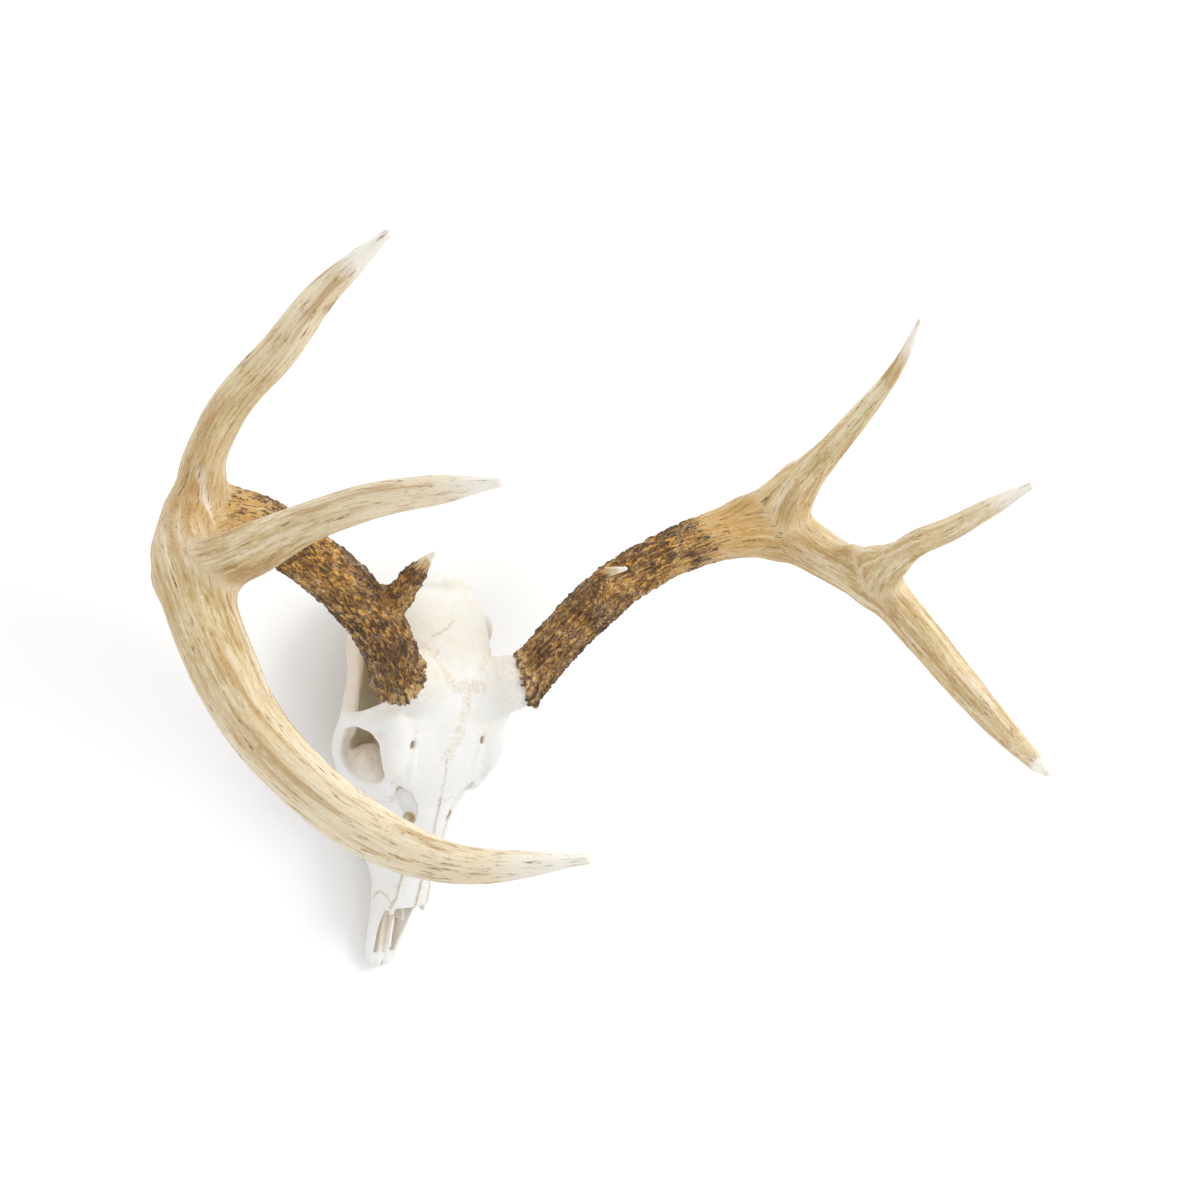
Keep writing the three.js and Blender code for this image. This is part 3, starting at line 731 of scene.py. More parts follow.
def skull_lattice():
    """The skull as one field: half of it first, then what differs from side to side."""
    half = Lattice((0, -4, -4), (64, 288, 130), SKULL_STEP)
    half.join(loft(FACE, 50, 178))
    half.join(loft(FOREHEAD, 126, 218), 8)
    half.join(loft(BRAINCASE, 166, 279, corner=2.5, rounding=5), 7)
    nasal_tip = {**FACE, "half": [(44, 12.8), (66, 15)], "bottom": [(44, 41), (66, 42)]}
    half.join(loft(nasal_tip, 49, 70, rounding=1), 1)
    half.cut(ellipsoid((0, 50, 38), (9.5, 18, 10)), 2)
    half.join(ellipsoid((6.2, 50.5, 50), (4, 6.6, 2.4)), 2)

    # cheek, brow and eye socket
    half.join_all(rod(*ARCH_FRONT), 5)
    half.join(ellipsoid((33, 146, 62), (9, 10, 15)), 6)
    half.join(turned_ellipsoid((40, 174, 97), (20, 8, 5), (0.06, 1, 0.2), (1, 0, -0.45)), 7)
    half.cut(turned_ellipsoid((40, 194, 62), (27, 11, 22), (0.05, 1, 0.1), (1, 0, 0)), 3)
    half.cut(ellipsoid((50, 208, 64), (13, 30, 22)), 4)
    half.cut(ellipsoid((43, 221, 86), (8, 26, 15)), 8)
    half.join(ring(ORBIT, ORBIT_FACING, ORBIT_RADIUS + 2.2, 2.5, 1.3), 2.5)
    half.join_all(rod(*BROW_BAR, (0.7, 1, 1)), 4)
    half.join_all(rod(*SOCKET_FLOOR, (0.8, 1, 1.5)), 3)
    half.join_all(rod(*ARCH_BACK, (0.55, 1, 1.15)), 4)
    half.join_all(rod(*EAR_CREST), 4)
    opening = np.array(ORBIT) + 5 * np.array(ORBIT_FACING)
    radii = (ORBIT_DEPTH, ORBIT_RADIUS, ORBIT_RADIUS)
    half.cut(turned_ellipsoid(opening, radii, ORBIT_FACING, (0, 1, 0)), 1.2)
    half.join(turned_ellipsoid(SOCKET_BULGE, (16, 11, 13), (0.5, 0.5, -0.6), (0, 0, 1)), 3)
    half.join(ellipsoid((32, 147, 69), (9.5, 10, 13)), 5)
    half.cut(turned_ellipsoid(*TEAR_SLOT, *TEAR_TURN), 0.5)
    half.join(turned_ellipsoid(*TEAR_PLATE, *TEAR_TURN), 0.6)
    half.cut(ellipsoid(*TEAR_HOLE), 0.8)
    half.cut(ellipsoid((28, 98, 38), (7, 4, 3)), 2)

    # snout: two long thin bones round the nose opening, with a slot each side of the palate
    half.join(loft(SNOUT, 1, 62, corner=2.8, rounding=2), 1.5)
    half.cut(loft(NOSTRIL, 12, 54, corner=4, rounding=2), 1.5)
    half.cut(ellipsoid((0, 62, 36), (10, 24, 12)), 2)
    half.join_all(rod(*PALATE_BAR), 1.5)
    half.join(box((0, 66, 25), (1.3, 24, 16), 1), 2)
    half.join_all(rod(*TURBINATE), 1)
    half.cut(box((6.4, 28, 8), (1.9, 15, 16), 1.6), 1)
    half.cut(ellipsoid((15.5, 40, 6), (3.4, 30, 5)), 2)
    half.cut(box((0, 0, 8), (0.5, 6, 12), 0.3), 1)

    # underside
    half.cut(ellipsoid((0, 118, 2), (16, 68, 16)), 4)
    half.cut(ellipsoid((0, 203, 14), (28, 40, 21)), 4)
    half.join_all(rod(*PALATE_WING, (0.5, 1, 3.2)), 3)
    half.join_all(rod(*BASE_BEAM, (1.2, 1, 0.7)), 4)
    # Two flat pieces close the view down through the fossa and behind the eye socket; the shade mask
    # gives them painted shade.
    half.join(ellipsoid((20, 201, 36), (20, 35, 7.5)), 5)
    half.join(ellipsoid((30, 171, 37), (13, 15, 6)), 4)
    half.join(ellipsoid((20, 238, 31), (8, 13, 11.5)), 3)
    half.join_all(rod(*EAR_TUBE), 3)
    half.cut(taper((38, 243, 46), (56, 246, 52), 2.6, 3.4), 1.5)
    half.join(turned_ellipsoid((12.5, 266, 36.5), (7.5, 10, 12), (1, -0.5, 0.3), (0.4, 1, 0)), 2.5)
    half.join_all(rod(*NECK_PROCESS, (0.8, 1.3, 1)), 4)
    half.cut(ellipsoid((0, 284, 52), (10.5, 17, 9.5)), 2)
    half.join_all(rod(*NAPE_CREST), 5)
    half.join(taper((0, 282, 76), (0, 274, 62), 3, 2), 5)
    half.cut(ellipsoid((13, 288, 64), (8, 9, 9)), 4)

    cheek_teeth(half)
    where, _, _, z = half.window((0, -4, -6), (64, 288, 3))
    half.values[where] = np.maximum(half.values[where], 0.05 - z)

    whole = half.mirrored()
    facing = np.array(BURR_FACING) / np.linalg.norm(BURR_FACING)
    for name, side in SIDES.items():
        foot = np.array(ANTLERS[name]["beam"][0][0])
        turn = np.array([side, 1, 1])
        chain = [tuple((foot + step) * turn) for step in PEDICLE[0]]
        whole.join_all(rod(chain, PEDICLE[1]), 9)
        cap = turned_ellipsoid((foot + 7 * facing) * turn, (7.6, 30, 30), facing * turn, (0, 0, 1))
        whole.cut(cap, 0.5)
    for x, y, z in BROW_HOLES:
        whole.cut(ellipsoid((x, y, z - 1), (2.6, 3.6, 5)), 2.2)
    return whole


def tooth_bar(x, width, shares, place, heights, radii):
    """A bar between two points set out from a tooth's middle by shares of its width."""
    a, b = ((x + width * share, place, height) for share, height in zip(shares, heights))
    return taper(a, b, *radii)


def cheek_teeth(half):
    """Six teeth a side: three with one crescent and three with two, ribbed on the cheek side."""
    y = FIRST_TOOTH_Y
    for k, (length, width) in enumerate(zip(TOOTH_LENGTHS, TOOTH_WIDTHS)):
        x = TOOTH_ROW_X[0] + (TOOTH_ROW_X[1] - TOOTH_ROW_X[0]) * math.sqrt(k / 5)
        lobes = 1 if k < 3 else 2
        reach = length - TOOTH_GAP
        lobe = reach / lobes
        tooth = Lattice(
            half.low + np.floor((np.array((x - width, y - 2, -3)) - half.low) / half.step) * half.step,
            (x + width, y + length + 2, 27), half.step,
        )
        for n in range(lobes):
            middle = y + lobe * (n + 0.5)
            body = box((x, middle, 11.5), (width / 2 * 0.86, lobe / 2 * 0.98, 12.5), lobe * 0.32)
            pit = ellipsoid((x + width * 0.04, middle, -0.4), (width * 0.16, lobe * 0.3, 2.8))
            up = (TOOTH_HEIGHT, 1)
            tooth.join(body, 0.8)
            tooth.join(tooth_bar(x, width, (0.36, 0.44), middle, up, (1.5, 1.1)), 1)
            beside = middle - lobe * 0.46
            tooth.join(tooth_bar(x, width, (0.33, 0.46), beside, up, (1.3, 1.0)), 0.8)
            tooth.cut(pit, 0.6)
            tooth.cut(tooth_bar(x, width, (-0.6, 0.6), middle, (-1.6, -1.6), (2.4, 2.4)), 0.6)
            between = middle + lobe / 2
            tooth.cut(tooth_bar(x, width, (-0.6, 0.1), between, (-1, -1), (1.5, 1.5)), 0.6)
        first = np.round((tooth.low - half.low) / half.step).astype(int)
        where = tuple(slice(a, a + n) for a, n in zip(first, tooth.values.shape))
        half.values[where] = soft_least(half.values[where], tooth.values, 0.8)
        y += length


def build_skull():
    """The skull's points, faces and masks, in its own frame."""
    lattice = skull_lattice()
    points, quads = lattice.skin()
    normals = point_normals(points, quads)
    swell, fine = Grain(11), Grain(12)
    # Painted shade: the more bone crowds round a point within 9 mm, the darker its colour in the
    # hollows.
    recess_shade = lattice.sample(lattice.crowding(9), points)
    # Painted shade: the same measure within 4 mm tints narrow creases tan.
    crease_shade = lattice.sample(lattice.crowding(4), points)
    beside = np.abs(points) * [1, 0, 0] + points * [0, 1, 1]
    shade, rim, wall = hollow_masks(beside)
    squeeze = (points[:, 0] > 0) * BROW_SQUEEZE * ramp(points[:, 1], 136, 160)
    points[:, 0] *= 1 - squeeze * (1 - ramp(points[:, 1], 186, 206))
    height = 0.45 * swell.layers(points / 23, 2) + 0.12 * swell(points / 6.5 + 40)
    height = height + 0.1 * fine.layers(points / 2.8, 2)
    height += 0.5 * wall * fine.layers(points / 5.5, 2)

    wander = points + 1.6 * np.stack([swell(points / 5 + 9 * k) for k in range(3)], 1)
    worms = fine.ridges(points / 1.5)
    stain = np.zeros(len(points))
    line = np.zeros(len(points))
    for chain, half_width, strength in WIDE_SEAMS:
        away, _ = chain_distance(wander, normals, chain)
        band = 1 - ramp(away, half_width * 0.6, half_width * 1.35)
        stain = np.maximum(stain, strength * band * (0.3 + 0.7 * worms))
        height -= 0.22 * band * worms
    wobble = points + 0.7 * np.stack([fine(points / 3.1 + 5 * k) for k in range(3)], 1)
    patchy = 0.6 + 0.4 * swell(points / 9 + 3)
    for chain, width, depth, strength in THIN_SEAMS:
        away, _ = chain_distance(wobble, normals, chain)
        groove = 1 - ramp(away, width * 0.5, width * 2.1)
        height -= depth * groove
        line = np.maximum(line, strength * groove * patchy)
    for chain in BROW_GROOVES:
        away, run = chain_distance(wander, normals, chain)
        groove = (1 - ramp(away, 0.4, 3.8)) * ramp(run, 0, 8) * (1 - ramp(run, 26, 42))
        height -= 1.1 * groove
        stain = np.maximum(stain, 0.3 * (1 - ramp(away, 0.5, 2.6)) * (1 - ramp(run, 4, 16)))
    for chain in VESSELS:
        away, _ = chain_distance(wobble, normals, chain)
        groove = 1 - ramp(away, 0.3, 1.3)
        height -= 0.35 * groove
        line = np.maximum(line, 0.35 * groove)
    for spot in BROW_HOLES:
        away = np.linalg.norm(beside * [np.sign(spot[0]), 1, 1] - np.array(spot), axis=1)
        away = np.where(points[:, 0] * spot[0] > 0, away, AWAY)
        stain = np.maximum(stain, 0.8 * (1 - ramp(away, 2.0, 4.6)))

    for name, side in SIDES.items():
        foot = np.array(ANTLERS[name]["beam"][0][0]) * [side, 1, 1]
        away = np.linalg.norm(points - foot, axis=1)
        around = 1 - ramp(away + 4 * swell(points / 9), 17, 31)
        stain = np.maximum(stain, 0.5 * around * worms)
        height -= 0.3 * around * worms
    # Painted shade: dark spots in and round the openings before and in the eye socket.
    for spot, reach, strength in SHADE_SPOTS:
        away = np.linalg.norm(beside + 0.8 * (wobble - points) - np.array(spot), axis=1)
        line = np.maximum(line, strength * (1 - ramp(away, reach * 0.5, reach)))
    height += 0.7 * rim * fine.layers(points / 4.2, 2)
    stain = np.maximum(stain, 0.3 * rim * ramp(89 - beside[:, 2], 0, 6))
    across, along, up = beside.T
    # Painted shade: the inner faces of the cheek arches, the inside of the nose opening and the eye
    # socket's wall are tinted tan, as shade falls there.
    turned_in = ramp(-normals[:, 0] * np.sign(points[:, 0]), -0.5, 0.3) * ramp(across, 43, 46)
    turned_in *= ramp(along, 188, 196) * (1 - ramp(along, 236, 246)) * (1 - ramp(up, 74, 84))
    nose = (1 - ramp(across, 8.5, 10.5)) * (1 - ramp(along, 62, 70)) * (1 - ramp(up, 44, 49))
    turned_in = np.maximum(turned_in, nose * ramp(along, 10, 22))
    inner_shade = np.maximum(turned_in, wall * (0.6 + 0.45 * swell(points / 8)))

    cream = ramp(along + 14 * swell(points / 30 + 7), 196, 240)
    tooth = (1 - ramp(up, 11, 15)) * ramp(along, 88, 91) * (1 - ramp(along, 160, 163))
    across = np.abs(points[:, 0])
    tooth *= ramp(across, 9, 12) * (1 - ramp(across, 34, 37))
    height = height * (1 - 0.9 * tooth)
    points = points + normals * height[:, None]
    points[:, 2] = np.maximum(points[:, 2], 0.02)
    masks = {
        "stain": stain,
        "line": line,
        "recess_shade": ramp(recess_shade, 0.6, 0.93),
        "shade": shade,
        "inner_shade": inner_shade,
        "crease_shade": ramp(crease_shade, 0.6, 0.9),
        "cream": cream,
        "tooth": tooth,
    }
    return points, quads, masks


# ---------------------------------------------------------------- the antlers' measures

# Waypoints and radii of the left antler, and of the right one before it is mirrored. Then the
# webs in the forks, how far the ivory and the pale antler reach from the tips (paler wear, and on
# the right beam mostly a painted sheen), and between which lengths along the beam the bark ends.
ANTLERS = {
    "left": {
        "beam": (
            [(46, 217, 116), (66, 248, 130), (97, 281, 144), (134, 304, 155), (172, 318, 168),
             (207, 319, 183), (221, 304, 215), (231, 284, 254), (232, 260, 287), (222, 230, 335),
             (204, 210, 382), (178, 203.2, 420), (145, 204.6, 454)],
            [14.8, 15.2, 15.4, 15.2, 17.2, 17.2, 15.2, 13.4, 11.6, 9.7, 7, 4.8, 2.8],
        ),
        "brow": (
            [(85, 270, 138), (72, 281, 157), (61, 290, 178), (64.5, 294, 196)],
            [8.8, 6.4, 3.8, 1.3],
        ),
        "second": (
            [(206, 318, 181), (199, 351, 205), (198, 376, 235), (194, 399, 267), (187, 422, 298),
             (175, 447, 326)],
            [13.5, 12.7, 8.6, 6.5, 4.0, 1.4],
        ),
        "third": (
            [(230, 288, 250), (212, 304, 280), (197, 317, 313), (186, 326, 348), (174, 338, 384),
             (165, 350, 419)],
            [12, 9.8, 7.8, 6.6, 5.2, 2.4],
        ),
        "webs": [
            ((160, 315, 162), (178, 330, 175), 8.5, 10), ((178, 330, 175), (195, 354.5, 202.5), 10, 9.5),
            ((217, 307.4, 238), (214, 305, 262), 6.6, 6.4), ((214, 305, 262), (213, 308, 280), 6.4, 6.2),
        ],
        "ivory_brow": 8,
        "pale": {"beam": 30, "second": 70, "third": 60},
        "bark_ends": (112, 190),
    },
    "right": {
        "beam": (
            [(48, 222, 115), (68, 249, 132), (97, 276, 144), (134, 300, 155), (172, 316, 168),
             (203.5, 317, 183), (219, 303.5, 213), (229.6, 289, 252), (229, 257, 286), (224, 223.7, 333),
             (206, 196.7, 382), (180, 184.8, 424), (145, 191.2, 463)],
            [15.2, 15.8, 15.6, 15.2, 15.4, 13.4, 15.2, 15.9, 15.3, 12.2, 11.2, 7.8, 2.2],
        ),
        "brow": ([(76, 262, 136), (70, 274, 155), (70, 288, 174), (69, 301, 194)], [9.5, 7.8, 5.6, 1.3]),
        "second": (
            [(204, 318, 182), (208, 347, 208), (205, 373, 236), (195, 397, 267), (185, 423, 297),
             (171, 446, 328)],
            [11.5, 10.0, 9.3, 8.8, 6.4, 2.2],
        ),
        "third": (
            [(229, 289, 251), (213, 302, 282), (200, 316, 315), (188, 326, 348), (175, 332, 383),
             (163, 336, 418)],
            [12.5, 12, 8.8, 7.6, 6.0, 2.0],
        ),
        "webs": [((186, 325, 174), (203, 338, 198), 7, 6)],
        "ivory_brow": 7,
        "pale": {"beam": 230, "second": 110, "third": 130},
        "bark_ends": (150, 225),
    },
}
# A ridge along the right fork: raised a little, and coloured ivory along it as a painted highlight.
FORK_RIDGE = [
    (-213.0, 348.8, 217.0), (-209.9, 336.2, 209.0), (-206.7, 326.8, 205.0), (-203.7, 318.4, 206.0),
    (-201.2, 310.5, 211.0),
]
BURR_RADIUS = 19.4
FORK_BLEND = {"beam": 0, "brow": 8, "second": 11, "third": 11}
BEAM_ROOM = 16  # space worked out round the beam, for the tines to blend with
IVORY_LENGTH = {"beam": 42, "second": 36, "third": 38}
PEARL_UNIT = 0.0015  # the pearl height for which the relief below is worked out
SEEDS = {"left": 30, "right": 60}
MASKS = ("bark", "crest", "hollow", "streak", "ivory", "gold", "pale", "knobs", "low")


def build_antler(name, pearl_height):
    """The antler's points, faces and masks, in the skull's frame."""
    measures = ANTLERS[name]
    turn = np.array([SIDES[name], 1, 1])
    rods = {
        key: Tine(np.array(measures[key][0]) * turn, measures[key][1])
        for key in ("beam", "brow", "second", "third")
    }
    beam = rods["beam"]
    every = np.vstack([one.curve for one in rods.values()])
    lattice = Lattice(every.min(0) - 24, every.max(0) + 24, ANTLER_STEP)
    for key, one in rods.items():
        blend = FORK_BLEND[key]
        where, values = one.field(lattice, blend or BEAM_ROOM)
        lattice.values[where] = soft_least(lattice.values[where], values, blend)
    for a, b, start, end in measures["webs"]:
        lattice.join(taper(np.array(a) * turn, np.array(b) * turn, start, end), 10)
    foot = beam.curve[0]
    axis = np.array(BURR_FACING) * turn / np.linalg.norm(BURR_FACING)
    burr = turned_ellipsoid(foot + 0.6 * axis, (5.0, BURR_RADIUS, BURR_RADIUS), axis, (0, 0, 1))
    lattice.join(burr, 4)
    where, x, y, z = lattice.window(foot - 26, foot + 26)
    under = -((x - foot[0]) * axis[0] + (y - foot[1]) * axis[1] + (z - foot[2]) * axis[2]) - 4.2
    lattice.values[where] = soft_most(lattice.values[where], under, 2)

    points, quads = lattice.skin()
    normals = point_normals(points, quads)
    parts = read_rods(rods, points)
    height, masks = antler_surface(name, rods, parts, points, pearl_height / PEARL_UNIT)
    away, run = chain_distance(points, normals, FORK_RIDGE)
    ridge = (1 - ramp(away, 0.4, 3.4)) * ramp(run, 0, 14)
    height += 0.9 * ridge
    # Painted highlight: ivory along the fork ridge.
    masks["ivory"] = np.maximum(masks["ivory"], 0.6 * ridge)
    return points + normals * height[:, None], quads, masks


def read_rods(rods, points):
    """Each rod's length, angle and thickness at each point, and its share in the point."""
    parts, total = {}, np.full(len(points), 1e-6)
    for key, one in rods.items():
        length, away, turn, thick = one.read(points)
        share = np.exp(-np.clip(away - thick, 0, 40) / 4.5)
        if key != "beam":
            share = share * ramp(length, 2, 16)
        parts[key] = (length, turn, thick, share)
        total += share
    return {
        key: (length, turn, thick, share / total)
        for key, (length, turn, thick, share) in parts.items()
    }


def antler_surface(name, rods, parts, points, relief):
    """Pearls, ridges and grooves as a height, and the masks that colour them."""
    rough, fine, wide = (Grain(SEEDS[name] + k) for k in range(3))
    count = len(points)
    measures = ANTLERS[name]
    height, best, flow = np.zeros(count), np.zeros(count), np.zeros((count, 3))
    masks = {key: np.zeros(count) for key in MASKS}
    fade_start, fade_end = measures["bark_ends"]
    beam = rods["beam"]
    burr_axis = np.array(BURR_FACING) * (SIDES[name], 1, 1)
    for k, (key, (length, turn, thick, share)) in enumerate(parts.items()):
        used = np.flatnonzero(share > 0.01)
        s, t, r, w = length[used], turn[used], thick[used], share[used]
        round_ = np.column_stack([t * np.maximum(r, 4)[:, None], s]) + 53.0 * k
        wobble = 26 * wide(round_ / 24)
        if key == "beam":
            bark = 1 - ramp(s + wobble, fade_start, fade_end)
            left_over = 1 - ramp(s + wobble, fade_start + 35, fade_end + 95)
        elif key == "brow":
            ends = rods["brow"].end - measures["ivory_brow"]
            bark = 1 - ramp(s + 0.2 * wobble, ends - 10, ends)
            left_over = bark
        else:
            root = beam.read(rods[key].curve[:1])[0][0]
            carried = 1 - ramp(root, fade_start, fade_end)
            bark = np.full(len(s), carried) * (1 - ramp(s, 0, 30))
            left_over = (1 - ramp(root, fade_start + 25, fade_end + 70)) * (1 - ramp(s + wobble, 0, 60))

        sway = [fine(round_ / (4, 4, 9) + 7 * axis) for axis in range(3)]
        drift = round_ + 1.4 * np.column_stack(sway)
        ridge = rough.ridges(drift / (3.0, 3.0, 17))
        crack = fine.ridges(drift / (2.3, 2.3, 9))
        apart, kind = rough.pearls(drift / (3.1, 3.1, 4.6))
        pearl = np.clip(1 - apart / 0.62, 0, 1) ** 0.7 * ramp(kind, 0.3, 0.6)
        grit = fine.layers(round_ / (1.5, 1.5, 2.4), 2)
        coarse = wide(round_ / (7, 7, 22))
        rugged = 0.8 * ridge + 1.5 * pearl + 0.5 * grit - 0.8 * crack - 0.25 + 0.4 * coarse
        if key == "beam":
            knob_apart, _ = fine.pearls(points[used] / 4.4)
            near_burr = 1 - ramp(np.abs((points[used] - beam.curve[0]) @ burr_axis), 4.5, 10)
            near_burr *= 1 - ramp(s, 26, 32)
            knob = np.clip(1 - knob_apart / 0.6, 0, 1) ** 0.7
            rugged = rugged + near_burr * (2.2 * knob - 0.3)
            masks["knobs"][used] = near_burr * knob
            masks["low"][used] = w * (1 - ramp(s + 0.3 * wobble, 20, 85))
        groove = wide.ridges(round_ / (8, 8, 120)) ** 2
        smooth = -0.6 * groove + 0.3 * wide(round_ / (11, 11, 30)) + 0.07 * grit
        tip = rods[key].end - s
        height[used] += w * ((bark * rugged * relief + (1 - bark) * smooth) * ramp(tip, 3, 22))
        ahead = w > best[used]
        flow[used[ahead]] = round_[ahead]
        best[used[ahead]] = share[used[ahead]]

        long_streak = wide.layers(round_ / (3.0, 3.0, 60), 3)
        short_streak = fine.layers(round_ / (1.5, 1.5, 20) + 31, 3)
        patch = wide(round_ / (14, 14, 55) + 77)
        streak = 0.55 * long_streak + 0.6 * short_streak + 0.5 * patch + 0.35 * groove
        worn = IVORY_LENGTH.get(key, measures["ivory_brow"])
        pale = measures["pale"].get(key, 1)
        for mask, value in (
            ("bark", bark),
            ("crest", ramp(rugged, 0.25, 1.0)),
            ("hollow", ramp(-rugged, 0.05, 0.75)),
            ("gold", left_over),
            ("streak", ramp(streak, 0.05, 0.95) * ramp(tip, 6, 60)),
            ("ivory", 1 - ramp(tip + 0.4 * wobble, worn * 0.3, worn)),
            # Pale: wear towards the tips, and on the right beam mostly a painted sheen.
            ("pale", 1 - ramp(tip + 1.5 * wobble, pale * 0.35, pale)),
        ):
            masks[mask][used] += w * value
    return height, {**masks, "flow": flow, "even": ramp(best, 0.5, 0.98)}


# ---------------------------------------------------------------- materials


class Nodes:
    """A few words for wiring shader nodes."""

    def __init__(self, tree):
        self.tree = tree
        tree.nodes.clear()

    def add(self, kind, **inputs):
        """A node, with its inputs fed by name."""
        node = self.tree.nodes.new(kind)
        for key, value in inputs.items():
            self.feed(node.inputs[key.replace("_", " ")], value)
        return node

    def feed(self, socket, value):
        """Link another node's output, or set a number, a vector or a colour of three numbers."""
        if isinstance(value, bpy.types.NodeSocket):
            self.tree.links.new(value, socket)
        else:
            socket.default_value = (*value, 1) if socket.type == "RGBA" else value

    def mask(self, name, output="Fac"):
        """A value that each point of the mesh carries."""
        node = self.add("ShaderNodeAttribute")
        node.attribute_name = name
        return node.outputs[output]

    def place(self):
        return self.add("ShaderNodeTexCoord").outputs["Object"]

    def math(self, operation, a, b=0.0, kind="ShaderNodeMath"):
        node = self.add(kind)
        node.operation = operation
        self.feed(node.inputs[0], a)
        self.feed(node.inputs[1], b)
        return node.outputs[0]

    def times(self, a, b):
        return self.math("MULTIPLY", a, b)

    def stretch(self, vector, by):
        return self.math("MULTIPLY", vector, by, "ShaderNodeVectorMath")

    def mix(self, share, a, b):
        """Colour a where the share is 0 and colour b where it is 1."""
        node = self.add("ShaderNodeMix")
        node.data_type = "RGBA"
        for k, value in ((0, share), (6, a), (7, b)):
            self.feed(node.inputs[k], value)
        return node.outputs[2]

    def lay(self, colour, *layers):
        """Each layer's colour over what is there, by the layer's share."""
        for share, over in layers:
            colour = self.mix(share, colour, over)
        return colour

    def spread(self, value, start, end, low=0.0, high=1.0):
        """Low where the value is at start, high where it is at end, eased at both."""
        node = self.add(
            "ShaderNodeMapRange", Value=value, From_Min=start, From_Max=end, To_Min=low, To_Max=high,
        )
        node.interpolation_type = "SMOOTHSTEP"
        return node.outputs[0]

    def noise(self, place, scale, detail=3.0, roughness=0.5):
        node = self.add(
            "ShaderNodeTexNoise", Vector=place, Scale=scale, Detail=detail, Roughness=roughness,
        )
        return node.outputs["Fac"]


GRAIN_GROUP = "pits and mottling"
ENAMEL = (0.80, 0.74, 0.60)
STAINED_ENAMEL = (0.56, 0.42, 0.24)
FLOOR_SHADE = (0.93, 0.93, 0.93)


def bone_grain_group():
    """Fine pits and mottling shared by the bone and the antler."""
    group = bpy.data.node_groups.new(GRAIN_GROUP, "ShaderNodeTree")
    for name, default in (
        ("Pit size", 1400.0), ("Mottle size", 90.0), ("Strength", 0.3), ("Height", 0.5),
        ("Base height", 0.0),
    ):
        socket = group.interface.new_socket(name, in_out="INPUT", socket_type="NodeSocketFloat")
        socket.default_value = default
    for name, kind in (("Mottle", "Float"), ("Pits", "Float"), ("Normal", "Vector")):
        group.interface.new_socket(name, in_out="OUTPUT", socket_type=f"NodeSocket{kind}")
    n = Nodes(group)
    given = n.add("NodeGroupInput").outputs
    place = n.place()
    mottle = n.noise(place, given["Mottle size"], 5.0, 0.6)
    pits = n.spread(n.noise(place, given["Pit size"], 3.0, 0.65), 0.30, 0.52)
    height = n.math("ADD", n.times(pits, given["Height"]), given["Base height"])
    bump = n.add("ShaderNodeBump", Strength=given["Strength"], Distance=0.0006, Height=height)
    n.add("NodeGroupOutput", Mottle=mottle, Pits=pits, Normal=bump.outputs["Normal"])
    return group


def grain_node(n, **values):
    """The shared group with this material's own values."""
    node = n.add("ShaderNodeGroup")
    node.node_tree = bpy.data.node_groups.get(GRAIN_GROUP) or bone_grain_group()
    for key, value in values.items():
        n.feed(node.inputs[key.replace("_", " ")], value)
    return node.outputs


def new_material(name):
    """A material and the words to wire it."""
    material = bpy.data.materials.new(name)
    material.use_nodes = True
    return material, Nodes(material.node_tree)


def finish_material(n, specular, **inputs):
    """Close a material with its one shader."""
    shader = n.add("ShaderNodeBsdfPrincipled", Specular_IOR_Level=specular, **inputs)
    n.add("ShaderNodeOutputMaterial", Surface=shader.outputs["BSDF"])


def bone_material(settings):
    """Bleached bone: creamier over the braincase, tan in the seams, with painted shade: brown in the
    hollows and openings, tan in narrow creases and on inner faces.
    """
    material, n = new_material("bleached bone")
    grain = grain_node(n, Pit_size=900.0, Mottle_size=55.0, Strength=0.5)
    mottle, tooth, place = grain["Mottle"], n.mask("tooth"), n.place()
    blotch = n.spread(n.noise(place, 28.0, 4.0, 0.55), 0.42, 0.68)
    # Painted shade: hollows, and the bone seen through the openings, darken towards the hollow colour.
    hollow = n.math("MAXIMUM", n.times(n.mask("recess_shade"), 0.5), n.times(n.mask("shade"), 0.85))
    wormy = n.spread(n.noise(place, 430.0, 2.0, 0.5), 0.42, 0.56, 0.25, 1.0)
    colour = n.lay(
        settings.bone_colour,
        (n.times(blotch, 0.35), settings.cream_colour),
        (n.times(n.mask("cream"), n.spread(mottle, 0.3, 0.7, 0.45, 1.0)), settings.cream_colour),
        (n.times(hollow, n.spread(mottle, 0.25, 0.75, 0.8, 1.0)), settings.hollow_shade_colour),
        # Painted shade in narrow creases and on inner faces, in the seam's tan.
        (n.times(n.mask("crease_shade"), 0.25), settings.seam_and_shade_colour),
        (n.times(n.mask("inner_shade"), 0.48), settings.seam_and_shade_colour),
        (n.times(n.mask("stain"), wormy), settings.seam_and_shade_colour),
        # Dark lines of the narrow seams, and painted shade in and round the opening before the eye
        # socket and along its edge.
        (n.mask("line"), settings.crack_and_shade_colour),
        (tooth, n.mix(n.spread(mottle, 0.35, 0.65), ENAMEL, STAINED_ENAMEL)),
    )
    rough = n.math("SUBTRACT", n.spread(grain["Pits"], 0, 1, 0.62, 0.5), n.times(tooth, 0.25))
    finish_material(n, 0.4, Base_Color=colour, Roughness=rough, Normal=grain["Normal"])
    return material


def thin_lines(n, noise, half_width):
    """1 along the lines where a noise passes its middle value."""
    return n.spread(n.math("ABSOLUTE", n.math("SUBTRACT", noise, 0.5)), 0.0, half_width, 1.0, 0.0)


